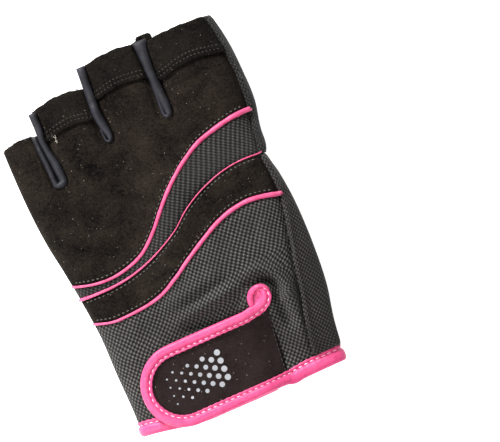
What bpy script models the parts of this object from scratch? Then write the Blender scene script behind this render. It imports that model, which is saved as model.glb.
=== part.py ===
# Fingerless weightlifting glove for a left hand, lying back up with its thumb tube folded under the palm.
# +X points to the thumb side, +Y to the fingers, +Z up. The glove rests on z = 0.
import math

import bpy
from mathutils import Vector

MM = 0.001

# Driving dimensions of the glove as it lies
HAND_WIDTH = 103.5 * MM  # across the knuckles
GLOVE_LENGTH = 154 * MM  # cuff edge to the end of the middle finger
HAND_DEPTH = 14.5 * MM  # outside, back to palm, at the middle of the hand
BACK_CROWN = 1.5 * MM  # the back's extra rise between its two folds
FOLD_LEVEL = 0.42  # share of the depth where back and palm meet at a fold
BACK_ROLL = 12 * MM  # run of the back's rounded shoulder
THUMB_ROLL = 18 * MM  # the same on the thumb side of the wrist
PALM_ROLL = 7 * MM  # run of the palm's rounded edge
TIP_FAN = 0.25  # how much the fingers spread towards their ends
PROBE = 0.4 * MM  # step for measuring the slope of a surface

# Cloths
SUEDE = 1.4 * MM
MESH = 1.6 * MM
STRETCH = 1.2 * MM
HEM = 1.0 * MM
PAD = 1.2 * MM
CLEAR = 0.3 * MM  # gap between two pieces that touch
SEAM = 0.4 * MM  # gap along a seam without piping

# Finger gaps: across is a share of the hand's width, crotch a share of the length
GAP_HALF = 1.95 * MM
GAP_ROUND = 1.2 * MM
GAP_DIP = 0.9 * MM
GAP_DIP_RUN = 4 * MM
GAP_DIP_START = 8 * MM  # the dip begins this far below the crotch
GAP_DIP_FADE = 12 * MM
FOURCHETTE_PROUD = 0.7 * MM  # above the back
FOURCHETTE_SUNK = 0.1 * MM  # inside the palm's face
GAPS = [
    {"across": 0.167, "crotch": 0.722},
    {"across": 0.407, "crotch": 0.779},
    {"across": 0.660, "crotch": 0.776},
]

# Finger ends as shares of the length; seam is where a finger's stitched hem starts
FINGERS = [
    {"name": "little", "end": 0.871, "bulge": 0.010},
    {"name": "ring", "end": 0.936, "bulge": 0.012, "hem_low": 0.842, "hem_rise": 0.024},
    {"name": "middle", "end": 0.990, "bulge": 0.010, "hem_low": 0.890, "hem_rise": 0.021},
    {"name": "index", "end": 0.984, "bulge": 0.006, "hem_low": 0.868, "hem_rise": 0.027},
]

# Outline of the lying glove: up is a share of the length, the edges are shares of the width
OUTLINE = [
    {"up": 0.000, "little": -0.464, "thumb": 0.396},
    {"up": 0.110, "little": -0.458, "thumb": 0.417},
    {"up": 0.208, "little": -0.459, "thumb": 0.448},
    {"up": 0.320, "little": -0.457, "thumb": 0.463},
    {"up": 0.435, "little": -0.471, "thumb": 0.466},
    {"up": 0.520, "little": -0.486, "thumb": 0.456},
    {"up": 0.590, "little": -0.501, "thumb": 0.438},
    {"up": 0.675, "little": -0.511, "thumb": 0.459},
    {"up": 0.773, "little": -0.514, "thumb": 0.483},
    {"up": 0.857, "little": -0.509, "thumb": 0.486},
    {"up": 0.929, "little": -0.504, "thumb": 0.476},
    {"up": 1.000, "little": -0.498, "thumb": 0.456},
]

# Depth of the hand tube, as shares of HAND_DEPTH, and how far the side seam lies inside the thumb edge
BODY = [
    {"up": 0.00, "depth": 0.80, "seam_in": 0.118},
    {"up": 0.20, "depth": 0.92, "seam_in": 0.112},
    {"up": 0.34, "depth": 0.98, "seam_in": 0.085},
    {"up": 0.46, "depth": 1.00, "seam_in": 0.046},
    {"up": 0.59, "depth": 1.00, "seam_in": 0.024},
    {"up": 0.74, "depth": 0.95, "seam_in": 0.023},
    {"up": 0.87, "depth": 0.85, "seam_in": 0.023},
    {"up": 1.00, "depth": 0.76, "seam_in": 0.021},
]

# Routes of the three pipings over the back, as shares of the length
PIPING = [
    {"across": 0.00, "upper": 0.470, "middle": 0.430, "lower": 0.357},
    {"across": 0.08, "upper": 0.455, "middle": 0.427, "lower": 0.343},
    {"across": 0.16, "upper": 0.449, "middle": 0.427, "lower": 0.341},
    {"across": 0.25, "upper": 0.457, "middle": 0.434, "lower": 0.346},
    {"across": 0.33, "upper": 0.475, "middle": 0.447, "lower": 0.358},
    {"across": 0.41, "upper": 0.512, "middle": 0.467, "lower": 0.383},
    {"across": 0.50, "upper": 0.563, "middle": 0.497, "lower": 0.416},
    {"across": 0.58, "upper": 0.609, "middle": 0.533, "lower": 0.443},
    {"across": 0.66, "upper": 0.651, "middle": 0.559, "lower": 0.468},
    {"across": 0.74, "upper": 0.683, "middle": 0.578, "lower": 0.484},
    {"across": 0.82, "upper": 0.699, "middle": 0.590, "lower": 0.490},
    {"across": 0.90, "upper": 0.709, "middle": 0.594, "lower": 0.483},
    {"across": 1.00, "upper": 0.713, "middle": 0.590, "lower": 0.463},
]
PIPING_RADIUS = {
    "upper": (0.50 * MM, 0.95 * MM),
    "middle": (0.75 * MM, 0.50 * MM),
    "lower": (0.65 * MM, 0.85 * MM),
}

# Thumb tube, folded under the palm: mouth corners and base as shares of width and length
THUMB_DEPTH = 8.6 * MM
THUMB_ROLL_SHARE = 0.30  # rounded share of the tube's half width
THUMB_MOUTH_LOW = (-0.037, 0.400)
THUMB_MOUTH_HIGH = (0.083, 0.553)
THUMB_BASE_LOW = 0.137
THUMB_BASE_HIGH = 0.537
THUMB_CORNER = 0.18  # rounding of the closed end's corners, share of the tube
THUMB_SIDE_IN = 0.8 * MM  # the tube's fold stays inside the hand's outline
THUMB_SIDE_ROLL = 7 * MM
THUMB_SQUEEZE = 2.5 * MM  # how much flatter the hand is over the thumb
THUMB_SLOPE = 20 * MM  # run of the palm's slope down from the thumb
THUMB_BLEND = 3 * MM  # rounds the corners of that slope
THUMB_SHELF = 4 * MM  # the slope starts this far outside the tube
WINDOW_IN = 0.125  # palm edge at the thumb hole, share of the width in from the thumb edge
WINDOW_TOP = 0.520
WINDOW_LOW = 0.225
UNDER_SEAM_IN = 0.030  # palm seam in from the thumb edge, share of the width

# Seams across the hand, as shares of the length
WRIST_SEAM = 0.222  # suede palm above, mesh wrist below
THUMB_CROTCH = 0.588  # index side strip above, thumb side panel below
INDEX_STRIP_ROWS = 8
THUMB_PANEL_ROWS = 14
PALM_ROWS = 13  # rows of the palm's cloth between the wrist seam and the crotches
PAD_ROWS = (7, 10)
PAD_SIDES = (0.46, 0.93)

# Cuff binding
CUFF_TAPE = 5.6 * MM
CUFF_GAP = 0.8 * MM  # between the tape and the cloth's raw edge
TAPE_PROUD = 0.5 * MM
CUFF_LIFT = 0.6 * MM  # the cloth beside the tape lies this much off the ground
CUFF_DROP = 0.028  # how far the cuff rises at its little-finger corner

# Vent in the back of the wrist and the closing strap over it
VENT_LEFT = 0.655
VENT_RIGHT = 0.725
VENT_TOP = 0.245
STRAP = 2.0 * MM
STRAP_HALF = 17.4 * MM
STRAP_LOW = 0.5 * MM  # lower edge above the cuff's end
STRAP_REACH = 0.231  # centre of the round end, share of the width left of the middle
STRAP_TAPE = 4.2 * MM
STRAP_TAPE_DEPTH = 2.8 * MM
STRAP_RISE = 1.8 * MM  # underside above the back
HOOK_TAPE = 1.2 * MM
HOOK_SIDES = (-0.32, -0.06)
HOOK_HALF = 0.575 * STRAP_HALF
EYE_RADIUS = 3.0 * MM  # centre line of the tape round the vent's end
EYE_UP = 1.6 * MM  # the loop's foot above the strap's upper tape
EYE_IN = 1.0 * MM  # its centre from the vent's right edge

COLOURS = {
    "suede": ((0.022, 0.018, 0.015), 0.95),
    "mesh": ((0.045, 0.043, 0.042), 0.85),
    "stretch": ((0.050, 0.049, 0.058), 0.55),
    "tape": ((0.90, 0.10, 0.30), 0.45),
    "strap": ((0.035, 0.028, 0.026), 0.9),
    "hook": ((0.02, 0.02, 0.02), 0.8),
}


# Reading the tables
def table_value(table, key, at, name):
    """Smooth value of one column of a table at a share, through every row."""
    rows = [(row[key], row[name]) for row in table]
    if at <= rows[0][0]:
        return rows[0][1]
    if at >= rows[-1][0]:
        return rows[-1][1]
    i = max(k for k in range(len(rows) - 1) if rows[k][0] <= at)
    (x0, y0), (x1, y1) = rows[i], rows[i + 1]
    before = rows[max(i - 1, 0)]
    after = rows[min(i + 2, len(rows) - 1)]
    step = x1 - x0
    slope0 = (y1 - before[1]) / (x1 - before[0])
    slope1 = (after[1] - y0) / (after[0] - x0)
    t = (at - x0) / step
    a = 2 * t**3 - 3 * t**2 + 1
    b = t**3 - 2 * t**2 + t
    return a * y0 + b * step * slope0 + (1 - a) * y1 + (t**3 - t**2) * step * slope1


def smooth(t):
    t = min(max(t, 0.0), 1.0)
    return t * t * (3 - 2 * t)


def shoulder(run, distance):
    """(rise, lean) of a quarter-round edge: 0 at the fold, 1 where the run ends."""
    t = min(max(distance / run, 0.0), 1.0)
    return math.sqrt(max(1 - (1 - t) ** 2, 0.0)), 1 - t


# Plan of the hand
def length_at(share):
    """Place along the hand from its share, the cuff end at minus half the length."""
    return (share - 0.5) * GLOVE_LENGTH


def share_at(y):
    return y / GLOVE_LENGTH + 0.5


def edges(y):
    v = share_at(y)
    little = table_value(OUTLINE, "up", v, "little") * HAND_WIDTH
    thumb = table_value(OUTLINE, "up", v, "thumb") * HAND_WIDTH
    return little, thumb


def across(u, y):
    """x of a share of the way from the little-finger edge to the thumb edge."""
    little, thumb = edges(y)
    spread = TIP_FAN * u * (1 - u) * max(0.0, y - length_at(GAPS[1]["crotch"]))
    return little + (thumb - little) * u + spread


def side_seam(y):
    """Share across of the seam between the back and the thumb-side pieces."""
    little, thumb = edges(y)
    return 1 - table_value(BODY, "up", share_at(y), "seam_in") * HAND_WIDTH / (thumb - little)


def in_width(distance, y):
    little, thumb = edges(y)
    return distance / (thumb - little)


# Thumb tube in plan
def thumb_corner(pair):
    return Vector((pair[0] * HAND_WIDTH, length_at(pair[1])))


def thumb_base(share):
    """Point on the thumb edge of the tube's closed side, from its wrist end to its finger end."""
    y = length_at(THUMB_BASE_LOW + (THUMB_BASE_HIGH - THUMB_BASE_LOW) * share)
    return Vector((edges(y)[1] - THUMB_SIDE_IN, y))


def outside_thumb(x, y):
    """Distance from the folded thumb in plan, negative over it."""
    low, high = thumb_corner(THUMB_MOUTH_LOW), thumb_corner(THUMB_MOUTH_HIGH)
    walls = [(thumb_base(0), low), (low, high), (high, thumb_base(1))]
    found = []
    for start, end in walls:
        along = (end - start).normalized()
        outward = Vector((-along.y, along.x))
        found.append((Vector((x, y)) - start).dot(outward))
    top = max(found)
    spread = sum(math.exp((d - top) / THUMB_BLEND) for d in found)
    return top + THUMB_BLEND * math.log(spread)


def over_thumb(x, y):
    """1 over the folded thumb, 0 where the palm lies on the ground."""
    return 1 - smooth((outside_thumb(x, y) - THUMB_SHELF) / THUMB_SLOPE)


THUMB_LIFT = THUMB_DEPTH + CLEAR + PAD + CLEAR


# The hand tube as a surface
def finger_dip(x, y):
    total = 0.0
    for gap in GAPS:
        crotch = length_at(gap["crotch"])
        fade = smooth((y - crotch + GAP_DIP_START) / GAP_DIP_FADE)
        total += fade * math.exp(-(((x - across(gap["across"], y)) / GAP_DIP_RUN) ** 2))
    return GAP_DIP * total


def hand_level(x, y, side, rise):
    """Height of the hand's outer face with its edge rounding held at rise."""
    little, thumb = edges(y)
    u = min(max((x - little) / (thumb - little), 0.0), 1.0)
    over = over_thumb(x, y)
    base = THUMB_LIFT * over + CUFF_LIFT * (1 - smooth((share_at(y) - 0.03) / 0.08))
    depth = HAND_DEPTH * table_value(BODY, "up", share_at(y), "depth")
    depth += BACK_CROWN * 4 * u * (1 - u) - THUMB_SQUEEZE * over
    fold = base + FOLD_LEVEL * depth
    if side > 0:
        return fold + (depth * (1 - FOLD_LEVEL) - finger_dip(x, y)) * rise
    return fold - (FOLD_LEVEL * depth - 0.7 * finger_dip(x, y)) * rise


def hand_point(u, y, side):
    """Point and outward normal of the hand tube: side 1 is the back, -1 the palm."""
    x = across(u, y)
    little, thumb = edges(y)
    if side > 0:
        wrist = smooth((0.62 - share_at(y)) / 0.30)
        runs = BACK_ROLL, BACK_ROLL + (THUMB_ROLL - BACK_ROLL) * wrist
    else:
        runs = PALM_ROLL, PALM_ROLL
    left, right = max(x - little, 0.0), max(thumb - x, 0.0)
    near_left = left / runs[0] < right / runs[1]
    run, distance, away = (runs[0], left, -1) if near_left else (runs[1], right, 1)
    rise, lean = shoulder(run, distance)
    z = hand_level(x, y, side, rise)
    slope_x = hand_level(x + PROBE, y, side, rise) - hand_level(x - PROBE, y, side, rise)
    slope_y = hand_level(x, y + PROBE, side, rise) - hand_level(x, y - PROBE, side, rise)
    slope_x /= 2 * PROBE
    slope_y /= 2 * PROBE
    height = abs(hand_level(x, y, side, 1) - hand_level(x, y, side, 0))
    flat = run * rise
    normal = Vector((away * height * lean - side * slope_x * flat, -side * slope_y * flat, side * flat))
    return Vector((x, y, z)), normal.normalized()


# Building cloth walls
def make_object(name, vertices, faces, colour):
    mesh = bpy.data.meshes.new(name)
    mesh.from_pydata([tuple(v) for v in vertices], [], faces)
    mesh.validate()
    mesh.update()
    mesh.shade_smooth()
    mesh.set_sharp_from_angle(angle=math.radians(40))
    item = bpy.data.objects.new(name, mesh)
    bpy.context.scene.collection.objects.link(item)
    mesh.materials.append(finish(colour))
    return item


def finish(colour):
    material = bpy.data.materials.get(colour)
    if material is None:
        material = bpy.data.materials.new(colour)
        material.use_nodes = True
        shader = material.node_tree.nodes["Principled BSDF"]
        tint, roughness = COLOURS[colour]
        shader.inputs["Base Color"].default_value = (*tint, 1)
        shader.inputs["Roughness"].default_value = roughness
        shader.inputs["Metallic"].default_value = 0
    return material


class Sheet:
    """A cloth in the making: points on its outer face with normals, and the cells between them."""

    def __init__(self):
        self.points, self.normals, self.cells, self.places = [], [], [], {}

    def add(self, key, point, normal):
        if key not in self.places:
            self.places[key] = len(self.points)
            self.points.append(point)
            self.normals.append(normal)
        return self.places[key]

    def cell(self, *keys):
        """Two triangles, split the same way in every sheet so that stacked cloths stay apart."""
        a, b, c, d = (self.places[key] for key in keys)
        self.cells += [tri for tri in ((a, b, c), (a, c, d)) if len(set(tri)) == 3]

    def wall(self, name, thickness, colour, raised=0.0):
        """Closes the sheet into a wall whose outer face is raised above its points."""
        cells = self.facing()
        outer = [p + n * raised for p, n in zip(self.points, self.normals)]
        inner = [p + n * (raised - thickness) for p, n in zip(self.points, self.normals)]
        count = len(outer)
        faces = [list(c) for c in cells] + [[i + count for i in reversed(c)] for c in cells]
        edges_used = {(c[k], c[(k + 1) % len(c)]) for c in cells for k in range(len(c))}
        for a, b in sorted(edges_used):
            if (b, a) not in edges_used:
                faces.append([b, a, a + count, b + count])
        return make_object(name, outer + inner, faces, colour)

    def facing(self):
        """The cells wound so that they face along the normals."""
        total = 0.0
        for c in self.cells:
            a, b, d = (self.points[c[k]] for k in (0, 1, -1))
            total += (b - a).cross(d - a).dot(self.normals[c[0]])
        return self.cells if total > 0 else [list(reversed(c)) for c in self.cells]


def lattice(rows, place, open_cell=None):
    """A sheet over a grid: rows lists each row's columns, place gives (point, normal) of one."""
    sheet = Sheet()
    for j, row in enumerate(rows):
        for i, column in enumerate(row):
            sheet.add((i, j), *place(column))
    for j in range(len(rows) - 1):
        for i in range(len(rows[0]) - 1):
            if open_cell is None or not open_cell(i, j):
                sheet.cell((i, j), (i + 1, j), (i + 1, j + 1), (i, j + 1))
    return sheet


def piping_half(name, u):
    start, end = PIPING_RADIUS[name]
    return start + (end - start) * u


def piping_line(name, u):
    """y of a piping's centre line at a share across."""
    return length_at(table_value(PIPING, "across", u, name))


def beside_piping(name, u, above):
    """y of the cloth's edge next to a piping, square to the piping's run."""
    step = 0.01
    y = piping_line(name, u)
    rise = piping_line(name, u + step) - piping_line(name, u - step)
    run = across(u + step, y) - across(u - step, y)
    half = piping_half(name, u) + CLEAR
    return y + (1 if above else -1) * half * math.hypot(rise, run) / run


# Where the columns of the back and the palm run
def lobe_columns(y, gap_half, last, shares):
    """Shares across at y: each finger's columns, with the two edges of each gap between."""
    bounds = [0.0]
    for gap in GAPS:
        half = in_width(gap_half(y), y)
        bounds += [gap["across"] - half, gap["across"] + half]
    bounds.append(last)
    columns, gaps = [], []
    for k in range(4):
        low, high = bounds[2 * k], bounds[2 * k + 1]
        columns += [low + (high - low) * s for s in shares[k]]
        gaps.append(len(columns) - 1)
    return columns, gaps[:3]


def gap_half(y):
    """Half width of the opening between two fingers, a little wider at their ends."""
    return GAP_HALF * (1 + 0.25 * smooth((y - length_at(GAPS[0]["crotch"])) / (0.25 * GLOVE_LENGTH)))


BACK_SHARES = [
    (0, 0.025, 0.09, 0.20, 0.36, 0.62, 1),
    (0, 0.33, 0.67, 1),
    (0, 0.33, 0.67, 1),
    (0, 0.28, 0.52, 0.74, 0.89, 0.97, 1),
]
PALM_SHARES = [
    (0, 0.025, 0.09, 0.20, 0.36, 0.62, 1),
    (0, 0.33, 0.67, 1),
    (0, 0.33, 0.67, 1),
    (0, 0.26, 0.52, 0.78, 0.95, 1),
]


def crotch_line(u):
    """Where the fingers start, a curve through the three crotches."""
    stops = [{"u": 0.0, "up": GAPS[0]["crotch"] - 0.02}]
    stops += [{"u": gap["across"], "up": gap["crotch"]} for gap in GAPS]
    stops += [{"u": 1.0, "up": GAPS[2]["crotch"] - 0.01}]
    return length_at(table_value(stops, "u", u, "up"))


def finger_end(k, share):
    finger = FINGERS[k]
    return length_at(finger["end"] + finger["bulge"] * (1 - (2 * share - 1) ** 2))


def settle(start, line, columns_at, index):
    """(share across, y) of a column where it meets a line that depends on the share across."""
    y = start
    for _ in range(4):
        u = columns_at(y)[index]
        y = line(u)
    return columns_at(y)[index], y


def fold_split(u, y, side, point):
    """Keeps back and palm apart along the little-finger fold."""
    if u < 1e-9:
        point = point + Vector((0, 0, side * SEAM / 2))
    return point


def fingered_sheet(side, last, shares, low_line, low_rows, finger_rows):
    """A back or palm cloth with four finger lobes above its crotches."""

    def columns_at(y):
        return lobe_columns(y, gap_half, last(y), shares)[0]

    gaps = lobe_columns(0.0, gap_half, 1.0, shares)[1]
    count = len(columns_at(0.0))
    sheet = Sheet()

    def put(i, j, u, y):
        point, normal = hand_point(u, y, side)
        return sheet.add((i, j), fold_split(u, y, side, point), normal)

    for i in range(count):
        low_u, low = settle(0.0, low_line, columns_at, i)
        high_u, high = settle(length_at(0.75), crotch_line, columns_at, i)
        for j in range(low_rows + 1):
            y = low + (high - low) * j / low_rows
            put(i, j, columns_at(y)[i], y)
    for k, gap in enumerate(gaps):
        mid_u = GAPS[k]["across"]
        for j in range(low_rows + 1):
            low = low_line(mid_u)
            high = crotch_line(mid_u) - GAP_ROUND
            put(("mid", k), j, mid_u, low + (high - low) * j / low_rows)
    for j in range(low_rows):
        for i in range(count - 1):
            if i in gaps:
                middle = ("mid", gaps.index(i))
                sheet.cell((i, j), (middle, j), (middle, j + 1), (i, j + 1))
                sheet.cell((middle, j), (i + 1, j), (i + 1, j + 1), (middle, j + 1))
            else:
                sheet.cell((i, j), (i + 1, j), (i + 1, j + 1), (i, j + 1))
    starts = [0] + [gap + 1 for gap in gaps]
    for k, start in enumerate(starts):
        size = len(shares[k])
        for n in range(size):
            i = start + n
            low = settle(length_at(0.75), crotch_line, columns_at, i)[1]
            high = finger_end(k, shares[k][n])
            for j in range(1, finger_rows + 1):
                y = low + (high - low) * j / finger_rows
                put(i, low_rows + j, columns_at(y)[i], y)
        for n in range(size - 1):
            i = start + n
            for j in range(low_rows, low_rows + finger_rows):
                sheet.cell((i, j), (i + 1, j), (i + 1, j + 1), (i, j + 1))
    return sheet


# Pieces of the back
def knuckle_panel():
    sheet = fingered_sheet(
        1, side_seam, BACK_SHARES, lambda u: beside_piping("upper", u, True), 6, 5
    )
    return sheet.wall("knuckle_panel", SUEDE, "suede")


def back_columns(y):
    return lobe_columns(y, gap_half, side_seam(y), BACK_SHARES)[0]


def back_band(name, low_line, high_line, rows, thickness, colour):
    """A cloth of the back between two lines across the hand."""
    count = len(back_columns(0.0))
    grid = []
    for j in range(rows + 1):
        row = []
        for i in range(count):
            low = settle(0.0, low_line, back_columns, i)[1]
            high = settle(0.0, high_line, back_columns, i)[1]
            y = low + (high - low) * j / rows
            row.append((back_columns(y)[i], y))
        grid.append(row)

    def place(column):
        point, normal = hand_point(*column, 1)
        return fold_split(*column, 1, point), normal

    return lattice(grid, place).wall(name, thickness, colour)


def cuff_line(u):
    """y of the cuff's edge, which rises towards its little-finger corner."""
    return length_at(CUFF_DROP * smooth((0.35 - u) / 0.35))


def cloth_end(u):
    return cuff_line(u) + CUFF_TAPE + CUFF_GAP


WRIST_SHARES = (0, 0.004, 0.015, 0.035, 0.065, 0.11, 0.17, 0.25, 0.34, 0.43, 0.52, 0.58)


def wrist_columns(y):
    last = side_seam(y)
    columns = list(WRIST_SHARES) + [VENT_LEFT, VENT_RIGHT]
    rest = (0.35, 0.7, 1)
    return columns + [VENT_RIGHT + (last - VENT_RIGHT) * s for s in rest]


def wrist_panel():
    """The mesh over the back of the wrist, slit from the cuff up to the vent's round end."""
    count = len(wrist_columns(0.0))
    vent = len(WRIST_SHARES)
    low_rows, high_rows = 4, 3
    grid = []
    vent_y = length_at(VENT_TOP)
    for j in range(low_rows + high_rows + 1):
        row = []
        for i in range(count):
            low = settle(length_at(0.05), cloth_end, wrist_columns, i)[1]
            high = settle(0.0, lambda u: beside_piping("lower", u, False), wrist_columns, i)[1]
            if j <= low_rows:
                y = low + (vent_y - low) * j / low_rows
            else:
                y = vent_y + (high - vent_y) * (j - low_rows) / high_rows
            row.append((wrist_columns(y)[i], y))
        grid.append(row)

    def place(column):
        point, normal = hand_point(*column, 1)
        return fold_split(*column, 1, point), normal

    sheet = lattice(grid, place, lambda i, j: i == vent and j < low_rows)
    return sheet.wall("wrist_panel", MESH, "mesh")


def piping(name):
    """A piping's cord: a tube along its seam, sunk to its middle in the cloth."""
    sides = 6
    count = len(back_columns(0.0))
    stops = [settle(0.0, lambda u: piping_line(name, u), back_columns, i)[0] for i in range(count)]
    stops[0] = stops[1] / 3
    path = []
    for u in stops:
        y = piping_line(name, u)
        point, normal = hand_point(u, y, 1)
        path.append((point, normal, piping_half(name, u)))
    points, faces = [], []
    for k, (centre, normal, radius) in enumerate(path):
        after, before = path[min(k + 1, len(path) - 1)][0], path[max(k - 1, 0)][0]
        along = (after - before).normalized()
        beside = normal.cross(along).normalized()
        up = along.cross(beside)
        for s in range(sides):
            angle = 2 * math.pi * s / sides
            points.append(centre + (beside * math.cos(angle) + up * math.sin(angle)) * radius)
    for k in range(len(path) - 1):
        for s in range(sides):
            t = (s + 1) % sides
            faces.append([k * sides + s, k * sides + t, (k + 1) * sides + t, (k + 1) * sides + s])
    faces.append(list(reversed(range(sides))))
    faces.append([(len(path) - 1) * sides + s for s in range(sides)])
    return make_object(f"piping_{name}", points, faces, "tape")


def finger_hem(k):
    """The second cloth stitched over a finger's end, with its scalloped lower edge."""
    finger = FINGERS[k]
    shares = BACK_SHARES[k]

    def column(share, y):
        u_low = GAPS[k - 1]["across"] + in_width(gap_half(y) + CLEAR, y)
        if k < 3:
            u_high = GAPS[k]["across"] - in_width(gap_half(y) + CLEAR, y)
        else:
            u_high = side_seam(y) - in_width(CLEAR, y)
        return u_low + (u_high - u_low) * share

    rows = 3
    grid = []
    for j in range(rows + 1):
        row = []
        for share in shares:
            scallop = finger["hem_rise"] * math.sin(math.pi * (0.08 + 0.80 * share))
            low = length_at(finger["hem_low"] + scallop)
            high = finger_end(k, share)
            y = low + (high - low) * j / rows
            row.append((column(share, y), y))
        grid.append(row)
    sheet = lattice(grid, lambda c: hand_point(*c, 1))
    return sheet.wall(f"finger_hem_{finger['name']}", HEM, "suede", raised=CLEAR + HEM)


# Between the fingers
def fourchette(k):
    """The stretch strip that lines two neighbouring fingers, bent to a U at their crotch."""
    gap = GAPS[k]
    crotch = length_at(gap["crotch"])
    centre_y = crotch + GAP_ROUND

    def flank(sign, y):
        half = gap_half(y) - CLEAR - STRETCH / 2
        return Vector((across(gap["across"], y) + sign * half, y)), Vector((sign, 0))

    ends = finger_end(k, 1.0), finger_end(k + 1, 0.0)
    steps = 4
    stations = []
    for n in range(steps):
        stations.append(flank(-1, ends[0] + (centre_y - ends[0]) * n / steps))
    turns = 6
    for n in range(turns + 1):
        angle = math.pi + math.pi * n / turns
        out = Vector((math.cos(angle), math.sin(angle)))
        middle = Vector((across(gap["across"], centre_y), centre_y))
        half = gap_half(centre_y) - CLEAR - STRETCH / 2
        stations.append((middle + out * half, out))
    for n in range(1, steps + 1):
        stations.append(flank(1, centre_y + (ends[1] - centre_y) * n / steps))
    sheet = Sheet()
    for s, (spot, out) in enumerate(stations):
        top = hand_level(spot.x, spot.y, 1, 1) + FOURCHETTE_PROUD
        bottom = hand_level(spot.x, spot.y, -1, 1) + FOURCHETTE_SUNK
        for r in range(3):
            z = bottom + (top - bottom) * r / 2
            centre = Vector((spot.x, spot.y, z))
            normal = Vector((out.x, out.y, 0))
            sheet.add((s, r), centre + normal * STRETCH / 2, normal)
    for s in range(len(stations) - 1):
        for r in range(2):
            sheet.cell((s, r), (s + 1, r), (s + 1, r + 1), (s, r + 1))
    name = f"fourchette_{FINGERS[k]['name']}_{FINGERS[k + 1]['name']}"
    return sheet.wall(name, STRETCH, "stretch")


# Thumb side
def under_seam(y):
    """Share across of the seam between the palm and the thumb-side pieces."""
    return 1 - in_width(UNDER_SEAM_IN * HAND_WIDTH, y)


def side_piece(name, low, high, rows, thickness):
    """A strip round the thumb-side fold, from the back's seam to the palm's."""
    back_steps = (0.0, 0.3, 0.6, 0.82, 0.95, 1.0)
    palm_steps = (0.18, 0.55, 1.0)
    grid = []
    for j in range(rows + 1):
        y = low + (high - low) * j / rows
        seams = side_seam(y) + in_width(SEAM, y), under_seam(y) + in_width(SEAM, y)
        row = [(seams[0] + (1 - seams[0]) * share, y, 1) for share in back_steps]
        row += [(1 + (seams[1] - 1) * share, y, -1) for share in palm_steps]
        grid.append(row)
    return lattice(grid, lambda c: hand_point(*c)).wall(name, thickness, "mesh")


def index_side_strip():
    low = length_at(THUMB_CROTCH) + SEAM / 2
    return side_piece("index_side_strip", low, finger_end(3, 1.0), INDEX_STRIP_ROWS, MESH)


def thumb_side_panel():
    high = length_at(THUMB_CROTCH) - SEAM / 2
    return side_piece("thumb_side_panel", cloth_end(1.0), high, THUMB_PANEL_ROWS, MESH)


def thumb_tube():
    """The thumb's mesh tube: open at its mouth and, through a hole in its upper wall, to the hand."""
    low, high = thumb_corner(THUMB_MOUTH_LOW), thumb_corner(THUMB_MOUTH_HIGH)
    half = THUMB_DEPTH / 2
    alongs = (0, 0.12, 0.28, 0.44, 0.60, 0.72, 0.80, 0.87, 0.93, 0.97, 0.993, 1)
    acrosses = (-1, -0.985, -0.93, -0.83, -0.70, -0.35, 0, 0.35, 0.70, 0.83, 0.93, 0.985, 1)
    window_alongs = (5, 8)
    window_acrosses = (4, 8)

    def share_of(a, b):
        """Share of the way across, drawn in where the closed end's corners are rounded."""
        t = max(0.0, 1 - (1 - a) / THUMB_CORNER)
        return 0.5 + 0.5 * b * (1 - THUMB_CORNER * (1 - math.sqrt(max(1 - t * t, 0.0))))

    def plan(a, b):
        share = share_of(a, b)
        return low.lerp(high, share).lerp(thumb_base(share), a)

    def profile(a, b, face):
        spot = plan(a, b)
        base = thumb_base(share_of(a, b))
        side_rise, side_lean = shoulder(THUMB_SIDE_ROLL, (spot - base).length)
        flank_rise, flank_lean = shoulder(THUMB_ROLL_SHARE, 1 - abs(b))
        z = half * (1 + face * side_rise * flank_rise)
        step = 0.01
        lean_a = plan(min(a + step, 1), b) - plan(a - step, b)
        lean_b = plan(a, min(b + step, 1)) - plan(a, max(b - step, -1))
        out_a = Vector((lean_a.x, lean_a.y)).normalized()
        out_b = Vector((-out_a.y, out_a.x))
        if out_b.dot(lean_b) * (1 if b >= 0 else -1) < 0:
            out_b = -out_b
        out = out_a * side_lean * flank_rise + out_b * flank_lean * side_rise
        if side_rise * flank_rise < 1e-6 and out.length < 1e-6:
            out = out_a + out_b
        normal = Vector((out.x, out.y, face * side_rise * flank_rise))
        return Vector((spot.x, spot.y, z)), normal.normalized()

    sheet = Sheet()
    last_a, last_b = len(alongs) - 1, len(acrosses) - 1
    for face in (-1, 1):
        for i, a in enumerate(alongs):
            for j, b in enumerate(acrosses):
                rim = i == last_a or j in (0, last_b)
                sheet.add((i, j, 0 if rim else face), *profile(a, b, face))

    def key(i, j, face):
        rim = i == last_a or j in (0, last_b)
        return (i, j, 0 if rim else face)

    for face in (-1, 1):
        for i in range(last_a):
            for j in range(last_b):
                hole = window_alongs[0] <= i < window_alongs[1]
                hole = hole and window_acrosses[0] <= j < window_acrosses[1]
                if face > 0 and hole:
                    continue
                corners = [(i, j), (i + 1, j), (i + 1, j + 1), (i, j + 1)]
                if face > 0:
                    corners.reverse()
                sheet.cell(*[key(p, q, face) for p, q in corners])
    return sheet.wall("thumb_tube", MESH * 0.8, "mesh")


# Pieces of the palm
def palm_last(y):
    """Share across where the palm's cloth ends: at its seam, or further in beside the thumb hole."""
    hole = smooth((length_at(WINDOW_TOP + 0.05) - y) / (0.05 * GLOVE_LENGTH))
    return under_seam(y) - (in_width(WINDOW_IN * HAND_WIDTH, y) - (1 - under_seam(y))) * hole


def palm_panel():
    sheet = fingered_sheet(
        -1, palm_last, PALM_SHARES, lambda u: length_at(WRIST_SEAM) + SEAM / 2, PALM_ROWS, 4
    )
    return sheet.wall("palm_panel", SUEDE, "suede")


def palm_columns(y):
    return lobe_columns(y, gap_half, palm_last(y), PALM_SHARES)[0]


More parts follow.
